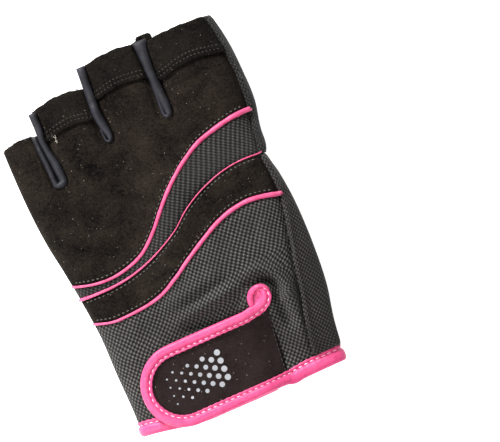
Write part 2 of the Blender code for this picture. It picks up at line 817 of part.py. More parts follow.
def palm_pad():
    """The padded patch stitched to the palm under the index and middle fingers."""
    middle = length_at(sum(PAD_ROWS) / 2 / PALM_ROWS * 0.55 + WRIST_SEAM)
    kept = [c for c, u in enumerate(palm_columns(middle)) if PAD_SIDES[0] <= u <= PAD_SIDES[1]]
    low = length_at(WRIST_SEAM) + SEAM / 2
    grid = []
    for j in range(PAD_ROWS[0], PAD_ROWS[1] + 1):
        row = []
        for c in kept:
            high = settle(length_at(0.75), crotch_line, palm_columns, c)[1]
            y = low + (high - low) * j / PALM_ROWS
            row.append((palm_columns(y)[c], y))
        grid.append(row)
    sheet = lattice(grid, lambda c: hand_point(*c, -1))
    return sheet.wall("palm_pad", PAD, "suede", raised=CLEAR + PAD)


def palm_wrist():
    """The gathered mesh across the palm side of the wrist."""
    shares = (0, 0.004, 0.015, 0.035, 0.065, 0.14, 0.25, 0.36, 0.47, 0.58, 0.69, 0.79, 0.87, 0.94, 1)
    rows = 5
    grid = []
    for j in range(rows + 1):
        row = []
        for share in shares:
            low = cloth_end(share)
            high = length_at(WRIST_SEAM) - SEAM / 2
            y = low + (high - low) * j / rows
            row.append((under_seam(y) * share, y))
        grid.append(row)

    def place(column):
        point, normal = hand_point(*column, -1)
        return fold_split(*column, -1, point), normal

    return lattice(grid, place).wall("palm_wrist", MESH, "mesh")


# Tapes
def tape(name, path, width, depth, closed=False):
    """A folded tape: a flat band with rounded edges swept along (centre, beside, up) stations."""
    half_w, half_d = width / 2, depth / 2
    section = [
        (-half_w, 0.0),
        (-0.82 * half_w, 0.8 * half_d),
        (-0.3 * half_w, half_d),
        (0.3 * half_w, half_d),
        (0.82 * half_w, 0.8 * half_d),
        (half_w, 0.0),
        (0.7 * half_w, -half_d),
        (-0.7 * half_w, -half_d),
    ]
    size = len(section)
    points, faces = [], []
    for centre, beside, up in path:
        points += [centre + beside * a + up * b for a, b in section]
    for k in range(len(path) - 1):
        for s in range(size):
            t = (s + 1) % size
            faces.append([k * size + s, (k + 1) * size + s, (k + 1) * size + t, k * size + t])
    faces.append(list(range(size)))
    faces.append([(len(path) - 1) * size + s for s in reversed(range(size))])
    probe = faces[0]
    a, b, d = (points[probe[k]] for k in (0, 1, 3))
    outward = (a - path[0][0]) + (b - path[0][0])
    if (b - a).cross(d - a).dot(outward) < 0:
        faces = [list(reversed(f)) for f in faces]
    return make_object(name, points, faces, "tape")


def cuff_stop(u, side, wall):
    """One station of the cuff's tape: centred on the cloth's thickness."""
    y = cuff_line(u) + CUFF_TAPE / 2
    point, normal = hand_point(u, y, side)
    if u < 1e-9 or u > 1 - 1e-9:
        normal = Vector((-1 if u < 0.5 else 1, 0, 0))
    centre = point - normal * wall / 2
    beside = Vector((0, 1, 0)) - normal * normal.y
    return centre, beside.normalized(), normal


def cuff_binding():
    """The tape round the cuff, open at the vent."""
    stops = [(VENT_RIGHT + 0.012, 1), (0.78, 1), (0.86, 1), (0.92, 1), (0.965, 1), (1.0, 1)]
    stops += [(0.965, -1), (0.93, -1), (0.86, -1), (0.76, -1), (0.66, -1), (0.56, -1)]
    stops += [(0.46, -1), (0.36, -1), (0.26, -1), (0.17, -1), (0.10, -1), (0.06, -1), (0.03, -1)]
    stops += [(0.0, 1), (0.03, 1), (0.07, 1), (0.12, 1), (0.20, 1)]
    stops += [(0.30, 1), (0.40, 1), (0.50, 1), (0.58, 1), (VENT_LEFT - 0.004, 1)]
    path = [cuff_stop(u, side, MESH) for u, side in stops]
    return tape("cuff_binding", path, CUFF_TAPE, MESH + 2 * TAPE_PROUD)


# Strap
def strap_height(x, y):
    """Height of the strap's underside above the back: flush at its seam, then over the cloth."""
    u_here = min(max((x - edges(y)[0]) / (edges(y)[1] - edges(y)[0]), 0.0), 1.0)
    start, end = VENT_RIGHT, VENT_LEFT - 0.045
    over = smooth((start - u_here) / (start - end))
    point, normal = hand_point(u_here, y, 1)
    return point.z + STRAP_RISE * over + (CLEAR - STRAP) * (1 - over)


def strap_stop(x, y):
    return Vector((x, y, strap_height(x, y)))


def strap_middle():
    """y of the strap's centre line."""
    return length_at(0) + STRAP_LOW + STRAP_HALF


def strap_right(y):
    return across(VENT_RIGHT, y) - CLEAR


def strap():
    """The closing tab: a flat cloth with a round end, inside its tape."""
    centre = strap_middle()
    turn_x = -STRAP_REACH * HAND_WIDTH
    half = STRAP_HALF - STRAP_TAPE - CLEAR
    bends = (20, 42, 62, 78)
    straights = (1.0, 0.82, 0.66, 0.5, 0.25, 0.0)
    sides = (-1, -0.6, 0, 0.6, 1)
    sheet = Sheet()
    j = 0
    for share in straights:
        for i, s in enumerate(sides):
            y = centre + half * s
            x = turn_x + (strap_right(y) - turn_x) * share
            sheet.add((i, j), strap_stop(x, y) + Vector((0, 0, STRAP)), Vector((0, 0, 1)))
        j += 1
    for degrees in bends:
        angle = math.radians(degrees)
        for i, s in enumerate(sides):
            x = turn_x - half * math.sin(angle)
            y = centre + half * math.cos(angle) * s
            sheet.add((i, j), strap_stop(x, y) + Vector((0, 0, STRAP)), Vector((0, 0, 1)))
        j += 1
    for row in range(j - 1):
        for i in range(len(sides) - 1):
            sheet.cell((i, row), (i + 1, row), (i + 1, row + 1), (i, row + 1))
    return sheet.wall("strap", STRAP, "strap")


def strap_tape_route():
    """Plan route of the strap's tape: round the vent's end, along the top edge, the round end and back."""
    centre = strap_middle()
    turn_x = -STRAP_REACH * HAND_WIDTH
    ring = STRAP_HALF - STRAP_TAPE / 2
    top, low = centre + ring, centre - ring
    eye = Vector((across(VENT_RIGHT, top) - EYE_IN, top + EYE_RADIUS + EYE_UP))
    route = []
    for degrees in (200, 170, 140, 110, 80, 50, 20, -10, -40, -70):
        angle = math.radians(degrees)
        route.append(eye + Vector((math.cos(angle), math.sin(angle))) * EYE_RADIUS)
    start = route[-1].x
    for share in (0.14, 0.3, 0.5, 0.75):
        route.append(Vector((start + (turn_x - start) * share, top)))
    for step in range(13):
        angle = math.radians(90 + 15 * step)
        route.append(Vector((turn_x + ring * math.cos(angle), centre + ring * math.sin(angle))))
    finish_x = strap_right(low) - CLEAR
    for share in (0.25, 0.5, 0.7, 0.82, 0.92, 1.0):
        route.append(Vector((turn_x + (finish_x - turn_x) * share, low)))
    return route


def strap_binding():
    route = strap_tape_route()
    path = []
    for k, spot in enumerate(route):
        after, before = route[min(k + 1, len(route) - 1)], route[max(k - 1, 0)]
        along = (after - before).normalized()
        beside = Vector((-along.y, along.x, 0))
        height = strap_height(spot.x, spot.y)
        in_eye = k < 10
        if in_eye:
            height = max(height, hand_point_z(spot.x, spot.y) + CLEAR)
        centre = Vector((spot.x, spot.y, height + STRAP_TAPE_DEPTH / 2))
        path.append((centre, beside, Vector((0, 0, 1))))
    return tape("strap_binding", path, STRAP_TAPE, STRAP_TAPE_DEPTH)


def hand_point_z(x, y):
    little, thumb = edges(y)
    return hand_point((x - little) / (thumb - little), y, 1)[0].z


def hook_tape():
    """The hidden hook-and-loop closing between the strap's end and the back."""
    centre = strap_middle()
    columns, rows = 5, 3
    sheet = Sheet()
    for i in range(columns + 1):
        for j in range(rows + 1):
            x = HAND_WIDTH * (HOOK_SIDES[0] + (HOOK_SIDES[1] - HOOK_SIDES[0]) * i / columns)
            y = centre + HOOK_HALF * (2 * j / rows - 1)
            z = hand_point_z(x, y) + CLEAR + HOOK_TAPE
            sheet.add((i, j), Vector((x, y, z)), Vector((0, 0, 1)))
    for i in range(columns):
        for j in range(rows):
            sheet.cell((i, j), (i + 1, j), (i + 1, j + 1), (i, j + 1))
    return sheet.wall("hook_tape", HOOK_TAPE, "hook")


def set_down(items):
    """Moves the glove so that it stands on z = 0 with the middle of its box over the origin."""
    corners = [item.matrix_world @ Vector(c) for item in items for c in item.bound_box]
    low = Vector([min(c[k] for c in corners) for k in range(3)])
    high = Vector([max(c[k] for c in corners) for k in range(3)])
    shift = Vector(((low.x + high.x) / 2, (low.y + high.y) / 2, low.z))
    for item in items:
        item.location = item.location - shift


def build():
    for item in list(bpy.data.objects):
        bpy.data.objects.remove(item)
    items = [
        knuckle_panel(),
        back_band(
            "knuckle_mesh_band",
            lambda u: beside_piping("middle", u, True),
            lambda u: beside_piping("upper", u, False),
            2,
            MESH,
            "mesh",
        ),
        back_band(
            "suede_band",
            lambda u: beside_piping("lower", u, True),
            lambda u: beside_piping("middle", u, False),
            3,
            SUEDE,
            "suede",
        ),
        wrist_panel(),
        index_side_strip(),
        thumb_side_panel(),
        thumb_tube(),
        palm_panel(),
        palm_pad(),
        palm_wrist(),
        cuff_binding(),
        strap(),
        strap_binding(),
        hook_tape(),
    ]
    items += [piping(name) for name in ("upper", "middle", "lower")]
    items += [finger_hem(k) for k in (1, 2, 3)]
    items += [fourchette(k) for k in range(3)]
    set_down(items)


build()
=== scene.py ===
# %% [markdown]
# A fingerless training glove lies on its palm, and this script dresses it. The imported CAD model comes
# first, as a fixed frame of real sizes in metres: +X is the thumb side, +Y the fingers, +Z up. Each
# cloth of the real glove is then made again as a fine mesh in the place of its CAD solid.

# %% Frame
import math

import bpy
import numpy as np
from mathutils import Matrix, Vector


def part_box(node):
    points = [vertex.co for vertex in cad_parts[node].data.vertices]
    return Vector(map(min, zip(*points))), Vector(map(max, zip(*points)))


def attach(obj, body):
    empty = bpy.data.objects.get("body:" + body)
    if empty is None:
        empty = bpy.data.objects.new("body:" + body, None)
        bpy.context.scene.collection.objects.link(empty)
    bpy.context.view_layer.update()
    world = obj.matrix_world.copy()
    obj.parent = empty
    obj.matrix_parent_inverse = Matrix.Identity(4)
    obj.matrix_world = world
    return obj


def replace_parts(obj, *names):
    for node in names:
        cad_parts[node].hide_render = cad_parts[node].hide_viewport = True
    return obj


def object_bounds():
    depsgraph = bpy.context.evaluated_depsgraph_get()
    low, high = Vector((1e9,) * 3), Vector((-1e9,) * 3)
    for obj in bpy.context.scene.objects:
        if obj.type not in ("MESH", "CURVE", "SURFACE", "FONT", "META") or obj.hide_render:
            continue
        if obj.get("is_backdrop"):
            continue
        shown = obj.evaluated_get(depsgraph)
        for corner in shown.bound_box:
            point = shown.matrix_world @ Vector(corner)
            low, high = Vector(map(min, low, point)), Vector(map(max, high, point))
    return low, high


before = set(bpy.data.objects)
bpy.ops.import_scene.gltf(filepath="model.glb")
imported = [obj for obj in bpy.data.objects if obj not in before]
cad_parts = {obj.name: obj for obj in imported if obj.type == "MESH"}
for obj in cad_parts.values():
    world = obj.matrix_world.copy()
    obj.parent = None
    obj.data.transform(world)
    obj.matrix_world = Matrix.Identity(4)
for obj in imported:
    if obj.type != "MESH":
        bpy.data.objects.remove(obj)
CAD_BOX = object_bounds()
MM = 0.001
print("CAD solids:", len(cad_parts))

# %% [markdown]
# Colours are written as the eye reads them, in sRGB hex, and one function turns them into the linear
# values that shaders need. One more function adds a node, with its settings and its links.


# %% Colour and nodes
def linear(hex_colour):
    """sRGB hex to linear RGBA."""
    parts = [int(hex_colour[k : k + 2], 16) / 255 for k in (1, 3, 5)]
    return tuple(c / 12.92 if c <= 0.04045 else ((c + 0.055) / 1.055) ** 2.4 for c in parts) + (1,)


def add(tree, kind, inputs=None, **settings):
    """Adds one node; an input is a value, a socket, or a node whose live output is linked."""
    node = tree.nodes.new("ShaderNode" + kind)
    for key, value in settings.items():
        setattr(node, key, value)
    for key, value in (inputs or {}).items():
        if isinstance(value, bpy.types.Node):
            value = next(output for output in value.outputs if output.enabled)
        if isinstance(value, bpy.types.NodeSocket):
            tree.links.new(value, node.inputs[key])
        else:
            node.inputs[key].default_value = value
    return node


def new_material(name, **shader_values):
    """A material whose Principled shader has its constant values set; returns (material, tree, shader)."""
    material = bpy.data.materials.new(name)
    material.use_nodes = True
    tree = material.node_tree
    shader = tree.nodes["Principled BSDF"]
    for key, value in shader_values.items():
        shader.inputs[key.replace("_", " ")].default_value = value
    return material, tree, shader


print("pink as linear:", [round(c, 3) for c in linear("#F57FAC")])

# %% [markdown]
# Suede is leather split and brushed to a nap. The nap swallows light, so it is nearly black and has
# no gloss, only a faint pale sheen; strokes of the hand leave lighter and darker areas, and lint sits
# on it. Synthetic suede as on this glove has a nap of about 0.3 mm. Real hairs would take millions of
# faces, so noises of three sizes stand for them, in the colour and as a bump.

# %% Suede
NAP = 0.75 * MM  # real nap is near 0.3 mm, drawn coarser so that it shows
STROKES = 11 * MM
MOTTLE = 1.6 * MM  # tufts of the nap that lie the same way
LINT_SPACING = 1.5 * MM  # lint specks are 0.2 to 0.4 mm across
LINT_COLOUR = "#A9A39A"


def suede(name, dark, light, lint):
    material, tree, shader = new_material(name, Roughness=0.95, Specular_IOR_Level=0.06, Sheen_Weight=0.03)
    shader.inputs["Sheen Tint"].default_value = linear("#B9AC9C")
    where = add(tree, "TexCoord").outputs["Object"]
    nap = add(tree, "TexNoise", {"Vector": where, "Scale": 1 / NAP, "Detail": 3.0, "Roughness": 0.7})
    mottle = add(tree, "TexNoise", {"Vector": where, "Scale": 1 / MOTTLE, "Detail": 3.0, "Roughness": 0.6})
    strokes = add(tree, "TexNoise", {"Vector": where, "Scale": 1 / STROKES, "Detail": 2.0, "Distortion": 0.6})
    small = add(tree, "Math", {0: mottle, 1: 0.35, 2: nap}, operation="MULTIPLY_ADD")
    tone = add(tree, "Math", {0: strokes, 1: 0.65, 2: small}, operation="MULTIPLY_ADD")
    tone = add(tree, "MapRange", {"Value": tone, "From Min": 0.77, "From Max": 1.25})
    cloth_colour = add(tree, "Mix", {0: tone, 6: linear(dark), 7: linear(light)}, data_type="RGBA")
    cells = add(tree, "TexVoronoi", {"Vector": where, "Scale": 1 / LINT_SPACING})
    dot = add(tree, "MapRange", {"Value": cells.outputs["Distance"], "From Min": 0.12, "From Max": 0.07})
    pick = add(tree, "SeparateColor", {"Color": cells.outputs["Color"]})
    rare = add(tree, "MapRange", {"Value": pick.outputs[0], "From Min": 0.68, "To Max": lint})
    speck = add(tree, "Math", {0: dot, 1: rare}, operation="MULTIPLY")
    colour = add(tree, "Mix", {0: speck, 6: cloth_colour, 7: linear(LINT_COLOUR)}, data_type="RGBA")
    tree.links.new(colour.outputs[2], shader.inputs["Base Color"])
    bump = add(tree, "Bump", {"Height": small, "Distance": 0.35 * MM, "Strength": 0.8})
    tree.links.new(bump.outputs["Normal"], shader.inputs["Normal"])
    return material


SUEDE_BACK = suede("brushed_suede", "#040303", "#28221D", 0.8)
SUEDE_HEM = suede("brushed_suede_hem", "#030303", "#211D19", 0.7)
SUEDE_PALM = suede("palm_suede", "#0A0908", "#231E1A", 1.2)
print("suede nap", NAP / MM, "mm")

# %% [markdown]
# The ventilated cloth is a warp-knit polyester: raised grey threads cross between rows of small dark
# holes. The pattern follows the cloth, so it uses the cloth's own UV map, which is in millimetres:
# the product of two cosines is a chequerboard of holes and knots. The knots vary, as yarn does. Holes
# cut through the mesh would be truer, but there are some thousands of them, each under a millimetre.

# %% Knitted mesh
KNIT_PITCH = (2.03, 2.18)  # mm from hole to hole along and up the cloth: rows of holes are 1.45 apart
SIDE_PITCH = (1.75, 1.85)
YARN_DRIFT, YARN_CHANGE = 2.2 * MM, 0.9 * MM  # how far apart rows wander and the yarn's thickness changes
WORN_PATCH = 12 * MM


def knit(name, pitch, hole, thread, knot, depth, strength):
    material, tree, shader = new_material(name, Roughness=0.85, Specular_IOR_Level=0.2, Sheen_Weight=0.05)
    cloth_mm = add(tree, "UVMap", uv_map="cloth").outputs["UV"]
    where = add(tree, "TexCoord").outputs["Object"]
    axes = add(tree, "SeparateXYZ", {"Vector": cloth_mm})
    drift = add(tree, "TexNoise", {"Vector": where, "Scale": 1 / YARN_DRIFT, "Detail": 2.0})
    waves = []
    for axis, step in zip("XY", pitch):
        turn = add(tree, "Math", {0: axes.outputs[axis], 1: 2 * math.pi / step}, operation="MULTIPLY")
        wander = add(tree, "Math", {0: drift, 1: 1.3, 2: turn}, operation="MULTIPLY_ADD")
        waves.append(add(tree, "Math", {0: wander}, operation="COSINE"))
    lattice = add(tree, "Math", {0: waves[0], 1: waves[1]}, operation="MULTIPLY")
    yarn = add(tree, "TexNoise", {"Vector": where, "Scale": 1 / YARN_CHANGE, "Detail": 2.0, "Roughness": 0.7})
    lifted = add(tree, "Math", {0: yarn, 1: 0.6, 2: lattice}, operation="MULTIPLY_ADD")
    holes = add(tree, "MapRange", {"Value": lifted, "From Min": 0.40, "From Max": 0.80})
    knots = add(tree, "MapRange", {"Value": lifted, "From Min": 0.02, "From Max": -0.45})
    patches = add(tree, "TexNoise", {"Vector": where, "Scale": 1 / WORN_PATCH, "Detail": 3.0})
    worn = add(tree, "MapRange", {"Value": patches, "From Min": 0.35, "From Max": 0.65, "To Min": 0.55})
    knots = add(tree, "Math", {0: knots, 1: worn}, operation="MULTIPLY")
    colour = add(tree, "Mix", {0: holes, 6: linear(thread), 7: linear(hole)}, data_type="RGBA")
    colour = add(tree, "Mix", {0: knots, 6: colour, 7: linear(knot)}, data_type="RGBA")
    tree.links.new(colour.outputs[2], shader.inputs["Base Color"])
    height = add(tree, "Math", {0: 1.0, 1: lifted}, operation="SUBTRACT")
    bump = add(tree, "Bump", {"Height": height, "Distance": depth, "Strength": strength})
    tree.links.new(bump.outputs["Normal"], shader.inputs["Normal"])
    return material


MESH_BACK = knit("ventilated_knit", KNIT_PITCH, "#060605", "#302F2D", "#62605D", 0.22 * MM, 1.0)
# Painted shade: the same knit in darker colours, standing for the shade that falls on the band over the
# knuckles
MESH_PAINTED_SHADE = knit("knit_with_painted_shade", KNIT_PITCH, "#050505", "#201F1E", "#474543", 0.22 * MM, 1.0)
MESH_SIDE = knit("fine_knit", SIDE_PITCH, "#0A0909", "#262422", "#4E4A47", 0.14 * MM, 0.9)
MESH_STRIP = knit("fine_knit_strip", SIDE_PITCH, "#060606", "#1A1918", "#363432", 0.14 * MM, 0.9)
print("knit pitch", KNIT_PITCH, "mm")

# %% [markdown]
# The strips between the fingers are a smooth elastane knit, slate grey with a soft shine. The strap
# is a brushed nylon laminate, and the sewing threads are twisted polyester. One recipe serves them
# all: a fine grain over broad, faint patches.


# %% Smooth cloths and threads
BROAD_PATCH = 5 * MM


def smooth_cloth(name, dark, light, grain, depth, **shader_values):
    material, tree, shader = new_material(name, **shader_values)
    where = add(tree, "TexCoord").outputs["Object"]
    fine = add(tree, "TexNoise", {"Vector": where, "Scale": 1 / grain, "Detail": 3.0, "Roughness": 0.6})
    broad = add(tree, "TexNoise", {"Vector": where, "Scale": 1 / BROAD_PATCH, "Detail": 2.0})
    tone = add(tree, "Math", {0: fine, 1: broad}, operation="ADD")
    tone = add(tree, "MapRange", {"Value": tone, "From Min": 0.7, "From Max": 1.3})
    colour = add(tree, "Mix", {0: tone, 6: linear(dark), 7: linear(light)}, data_type="RGBA")
    tree.links.new(colour.outputs[2], shader.inputs["Base Color"])
    bump = add(tree, "Bump", {"Height": fine, "Distance": depth})
    tree.links.new(bump.outputs["Normal"], shader.inputs["Normal"])
    return material


STRETCH = smooth_cloth(
    "elastane_knit", "#08080C", "#25252E", 0.6 * MM, 0.08 * MM, Roughness=0.6, Specular_IOR_Level=0.35
)
BRUSHED = suede("brushed_nylon", "#1D1615", "#2C2423", 1.4)
HOOKS = smooth_cloth("moulded_hooks", "#0D0D0D", "#1C1C1C", 0.9 * MM, 0.3 * MM, Roughness=0.6)
THREAD_PINK = smooth_cloth("pale_thread", "#F9A9CD", "#FFE0EF", 0.3 * MM, 0.05 * MM, Roughness=0.5)
THREAD_GREY = smooth_cloth("grey_thread", "#3C3F3A", "#63675F", 0.3 * MM, 0.05 * MM, Roughness=0.6)
THREAD_DARK = smooth_cloth("dark_thread", "#20211D", "#3A3B36", 0.3 * MM, 0.05 * MM, Roughness=0.6)
THREAD_PALE = smooth_cloth("frayed_thread", "#A89F8F", "#E8E2D4", 0.3 * MM, 0.05 * MM, Roughness=0.7)
FILM = smooth_cloth(
    "reflective_film", "#8E8F94", "#A6A8AD", 0.25 * MM, 0.03 * MM, Roughness=0.45, Metallic=0.2
)
print("smooth cloths made")

# %% [markdown]
# The tapes and the cover of the pipings are polyester satin in a hot pink. Satin is woven with fine
# ribs across the tape, about 0.25 mm apart, and it shines a little. Where it is pulled in by
# stitches or folded on itself, light bounces from pink to pink, so each use has its own two colours.

# %% Satin
RIB = 0.5  # mm; real ribs are half as wide, drawn coarser so that they show
SHIMMER = 2.5 * MM


def satin(name, deep, bright, roughness):
    material, tree, shader = new_material(
        name, Roughness=roughness, Specular_IOR_Level=0.45, Sheen_Weight=0.05
    )
    cloth_mm = add(tree, "UVMap", uv_map="cloth").outputs["UV"]
    where = add(tree, "TexCoord").outputs["Object"]
    axes = add(tree, "SeparateXYZ", {"Vector": cloth_mm})
    turn = add(tree, "Math", {0: axes.outputs["X"], 1: 2 * math.pi / RIB}, operation="MULTIPLY")
    ribs = add(tree, "Math", {0: turn}, operation="SINE")
    broad = add(tree, "TexNoise", {"Vector": where, "Scale": 1 / SHIMMER, "Detail": 3.0, "Roughness": 0.6})
    tone = add(tree, "Math", {0: ribs, 1: 0.05, 2: broad}, operation="MULTIPLY_ADD")
    tone = add(tree, "MapRange", {"Value": tone, "From Min": 0.3, "From Max": 0.7})
    colour = add(tree, "Mix", {0: tone, 6: linear(deep), 7: linear(bright)}, data_type="RGBA")
    tree.links.new(colour.outputs[2], shader.inputs["Base Color"])
    height = add(tree, "Math", {0: ribs, 1: 0.15, 2: broad}, operation="MULTIPLY_ADD")
    bump = add(tree, "Bump", {"Height": height, "Distance": 0.10 * MM})
    tree.links.new(bump.outputs["Normal"], shader.inputs["Normal"])
    return material


TAPE = satin("pink_satin_tape", "#CE3870", "#DD4E83", 0.45)
TAPE_INSIDE = satin("pink_satin_fold", "#DA4C87", "#EA6DA1", 0.6)
CORD_COVER = satin("coral_satin_piping", "#D64474", "#E25A8A", 0.45)
print("satin ribs every", RIB, "mm")

# %% [markdown]
# The glove's plan has the driving sizes of the CAD source, and its tables are shares of the width and
# the length; only the side seam is drawn a little further in beside the index finger. Each cloth could
# be modelled by itself, but then folds would have to be matched across every seam. Here all cloths
# lie on one surface, so a fold in it bends every cloth that it crosses.


# %% Plan of the glove
def table(columns, *rows):
    """Each row as a dictionary, with a value for each named column."""
    return [dict(zip(columns.split(), row)) for row in rows]


HAND_WIDTH = 103.5 * MM  # across the knuckles
GLOVE_LENGTH = 154 * MM  # cuff edge to the end of the middle finger
HAND_DEPTH = 14.5 * MM  # outside, back to palm, at the middle of the hand
BACK_CROWN = 1.5 * MM  # the back's extra rise between its two folds
FOLD_LEVEL = 0.42  # share of the depth where back and palm meet at a fold
BACK_ROLL, THUMB_ROLL, PALM_ROLL = 12 * MM, 18 * MM, 7 * MM  # runs of the rounded sides
TIP_FAN = 0.25  # how much the fingers spread towards their ends
SUEDE, MESH, HEM, PAD = 1.4 * MM, 1.6 * MM, 1.0 * MM, 1.2 * MM  # thicknesses of the cloths
CLEAR, SEAM = 0.3 * MM, 0.4 * MM  # gaps between pieces that touch, and along a seam
GAP_HALF, GAP_ROUND = 1.95 * MM, 1.2 * MM
GAP_DIP, GAP_DIP_RUN, GAP_DIP_START, GAP_DIP_FADE = 0.9 * MM, 4 * MM, 8 * MM, 12 * MM
# Gaps between the fingers: shares of the width and of the length
GAPS = table(
    "across crotch",
    (0.167, 0.722),
    (0.407, 0.779),
    (0.660, 0.776),
)
# Where each finger's cloth and its second cloth end: shares of the length
FINGERS = table(
    "name end bulge hem_low hem_rise",
    ("little", 0.871, 0.010),
    ("ring", 0.936, 0.012, 0.842, 0.024),
    ("middle", 0.990, 0.010, 0.890, 0.021),
    ("index", 0.984, 0.006, 0.868, 0.027),
)
# The outline's two sides, as shares of the width, at shares of the length
OUTLINE = table(
    "up little thumb",
    (0.000, -0.464, 0.396),
    (0.110, -0.458, 0.417),
    (0.208, -0.459, 0.448),
    (0.320, -0.457, 0.463),
    (0.435, -0.471, 0.466),
    (0.520, -0.486, 0.456),
    (0.590, -0.501, 0.438),
    (0.675, -0.511, 0.459),
    (0.773, -0.514, 0.483),
    (0.857, -0.5125, 0.486),
    (0.929, -0.5105, 0.476),
    (1.000, -0.507, 0.456),
)
# Depth as a share of the hand's, and how far in the side seam is as a share of the width
BODY = table(
    "up depth seam_in",
    (0.00, 0.80, 0.118),
    (0.20, 0.92, 0.112),
    (0.34, 0.98, 0.085),
    (0.46, 1.00, 0.046),
    (0.59, 1.00, 0.024),
    (0.74, 0.95, 0.026),
    (0.87, 0.85, 0.034),
    (1.00, 0.76, 0.037),
)
# The three pipings: shares of the length, at shares across
PIPING = table(
    "across upper middle lower",
    (0.00, 0.470, 0.430, 0.357),
    (0.08, 0.455, 0.427, 0.343),
    (0.16, 0.449, 0.427, 0.341),
    (0.25, 0.457, 0.434, 0.346),
    (0.33, 0.475, 0.447, 0.358),
    (0.41, 0.512, 0.467, 0.383),
    (0.50, 0.563, 0.497, 0.416),
    (0.58, 0.609, 0.533, 0.443),
    (0.66, 0.651, 0.559, 0.468),
    (0.74, 0.683, 0.578, 0.484),
    (0.82, 0.699, 0.590, 0.490),
    (0.90, 0.709, 0.594, 0.483),
    (1.00, 0.713, 0.590, 0.463),
)
# Half widths that the cloths leave free for a piping, at its little-finger end and its thumb end
PIPING_RADIUS = {
    "upper": (0.50 * MM, 0.95 * MM),
    "middle": (0.75 * MM, 0.50 * MM),
    "lower": (0.65 * MM, 0.85 * MM),
}


def smooth(t):
    t = np.clip(t, 0.0, 1.0)
    return t * t * (3 - 2 * t)


def curve(rows, at, column):
    """A smooth curve through one column of a table, as a function of the share."""
    x, y = (np.array([row[key] for row in rows], float) for key in (at, column))
    slope = np.empty_like(y)
    slope[1:-1] = (y[2:] - y[:-2]) / (x[2:] - x[:-2])
    slope[0], slope[-1] = (y[1] - y[0]) / (x[1] - x[0]), (y[-1] - y[-2]) / (x[-1] - x[-2])
    fine = np.linspace(x[0], x[-1], 600)
    i = np.clip(np.searchsorted(x, fine, "right") - 1, 0, len(x) - 2)
    step = x[i + 1] - x[i]
    t = (fine - x[i]) / step
    a, b = 2 * t**3 - 3 * t**2 + 1, t**3 - 2 * t**2 + t
    value = a * y[i] + b * step * slope[i] + (1 - a) * y[i + 1] + (t**3 - t**2) * step * slope[i + 1]
    return lambda share: np.interp(share, fine, value)


little_share, thumb_share = curve(OUTLINE, "up", "little"), curve(OUTLINE, "up", "thumb")
depth_share, seam_share = curve(BODY, "up", "depth"), curve(BODY, "up", "seam_in")
piping_share = {name: curve(PIPING, "across", name) for name in PIPING_RADIUS}


def length_at(share):
    return (np.asarray(share, float) - 0.5) * GLOVE_LENGTH


def share_at(y):
    return y / GLOVE_LENGTH + 0.5


def little_edge(y):
    return little_share(share_at(y)) * HAND_WIDTH


def width(y):
    return (thumb_share(share_at(y)) - little_share(share_at(y))) * HAND_WIDTH


def spread(u, y):
    return TIP_FAN * u * (1 - u) * np.maximum(0.0, y - length_at(GAPS[1]["crotch"]))


def across(u, y):
    return little_edge(y) + width(y) * u + spread(u, y)


def share_across(x, y):
    """The share across that lies at x."""
    u = (x - little_edge(y)) / width(y)
    for _ in range(5):
        u = (x - little_edge(y) - spread(u, y)) / width(y)
    return u


def side_seam(y):
    return 1 - seam_share(share_at(y)) * HAND_WIDTH / width(y)


def piping_line(name, u):
    return length_at(piping_share[name](u))


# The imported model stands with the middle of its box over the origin: this is how far it moved.
SHIFT = np.array(
    [
        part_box("palm_panel")[0].x - little_edge(np.linspace(-0.05, 0.07, 200)).min(),
        0.0,
        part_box("palm_panel")[0].z,
    ]
)
print("plan moved by", (SHIFT / MM).round(2), "mm")

# %% [markdown]
# The thumb is a knitted tube folded flat under the palm, and the hand lies over it in a long low hump.
# A simulated cloth would settle to much the same slope. A function of the distance from the thumb's
# outline gives it at once, and every cloth of the glove can read it.

# %% Hump over the folded thumb
THUMB_DEPTH = 8.6 * MM
THUMB_MOUTH_LOW, THUMB_MOUTH_HIGH = (-0.037, 0.400), (0.083, 0.553)
THUMB_BASE_LOW, THUMB_BASE_HIGH = 0.137, 0.537
THUMB_SIDE_IN, THUMB_SQUEEZE = 0.8 * MM, 2.5 * MM
THUMB_SLOPE, THUMB_SHELF, THUMB_BLEND = 20 * MM, 4 * MM, 3 * MM
THUMB_LIFT = THUMB_DEPTH + CLEAR + PAD + CLEAR
CUFF_LIFT = 0.6 * MM


def thumb_corner(pair):
    return np.array([pair[0] * HAND_WIDTH, length_at(pair[1])])


def thumb_base(share):
    y = length_at(THUMB_BASE_LOW + (THUMB_BASE_HIGH - THUMB_BASE_LOW) * np.asarray(share, float))
    return np.stack([little_edge(y) + width(y) - THUMB_SIDE_IN, y], -1)


def over_thumb(x, y):
    low, high = thumb_corner(THUMB_MOUTH_LOW), thumb_corner(THUMB_MOUTH_HIGH)
    total = 0.0
    for start, end in ((thumb_base(0), low), (low, high), (high, thumb_base(1))):
        along = (end - start) / np.linalg.norm(end - start)
        distance = (x - start[0]) * -along[1] + (y - start[1]) * along[0]
        total = total + np.exp(np.clip(distance / THUMB_BLEND, -200, 200))
    return 1 - smooth((THUMB_BLEND * np.log(total) - THUMB_SHELF) / THUMB_SLOPE)


# %% [markdown]
# Fingers: where each one ends, where its sides are beside the gaps, and the scalloped line of the
# second cloth on three of them. Between two fingers runs a folded strip. Each of its table rows is a
# place along it: how far it is up from the crotch, how far its middle is off the gap's line, and half
# its width, in millimetres. On the back the fingers' edges are tucked under the strip.

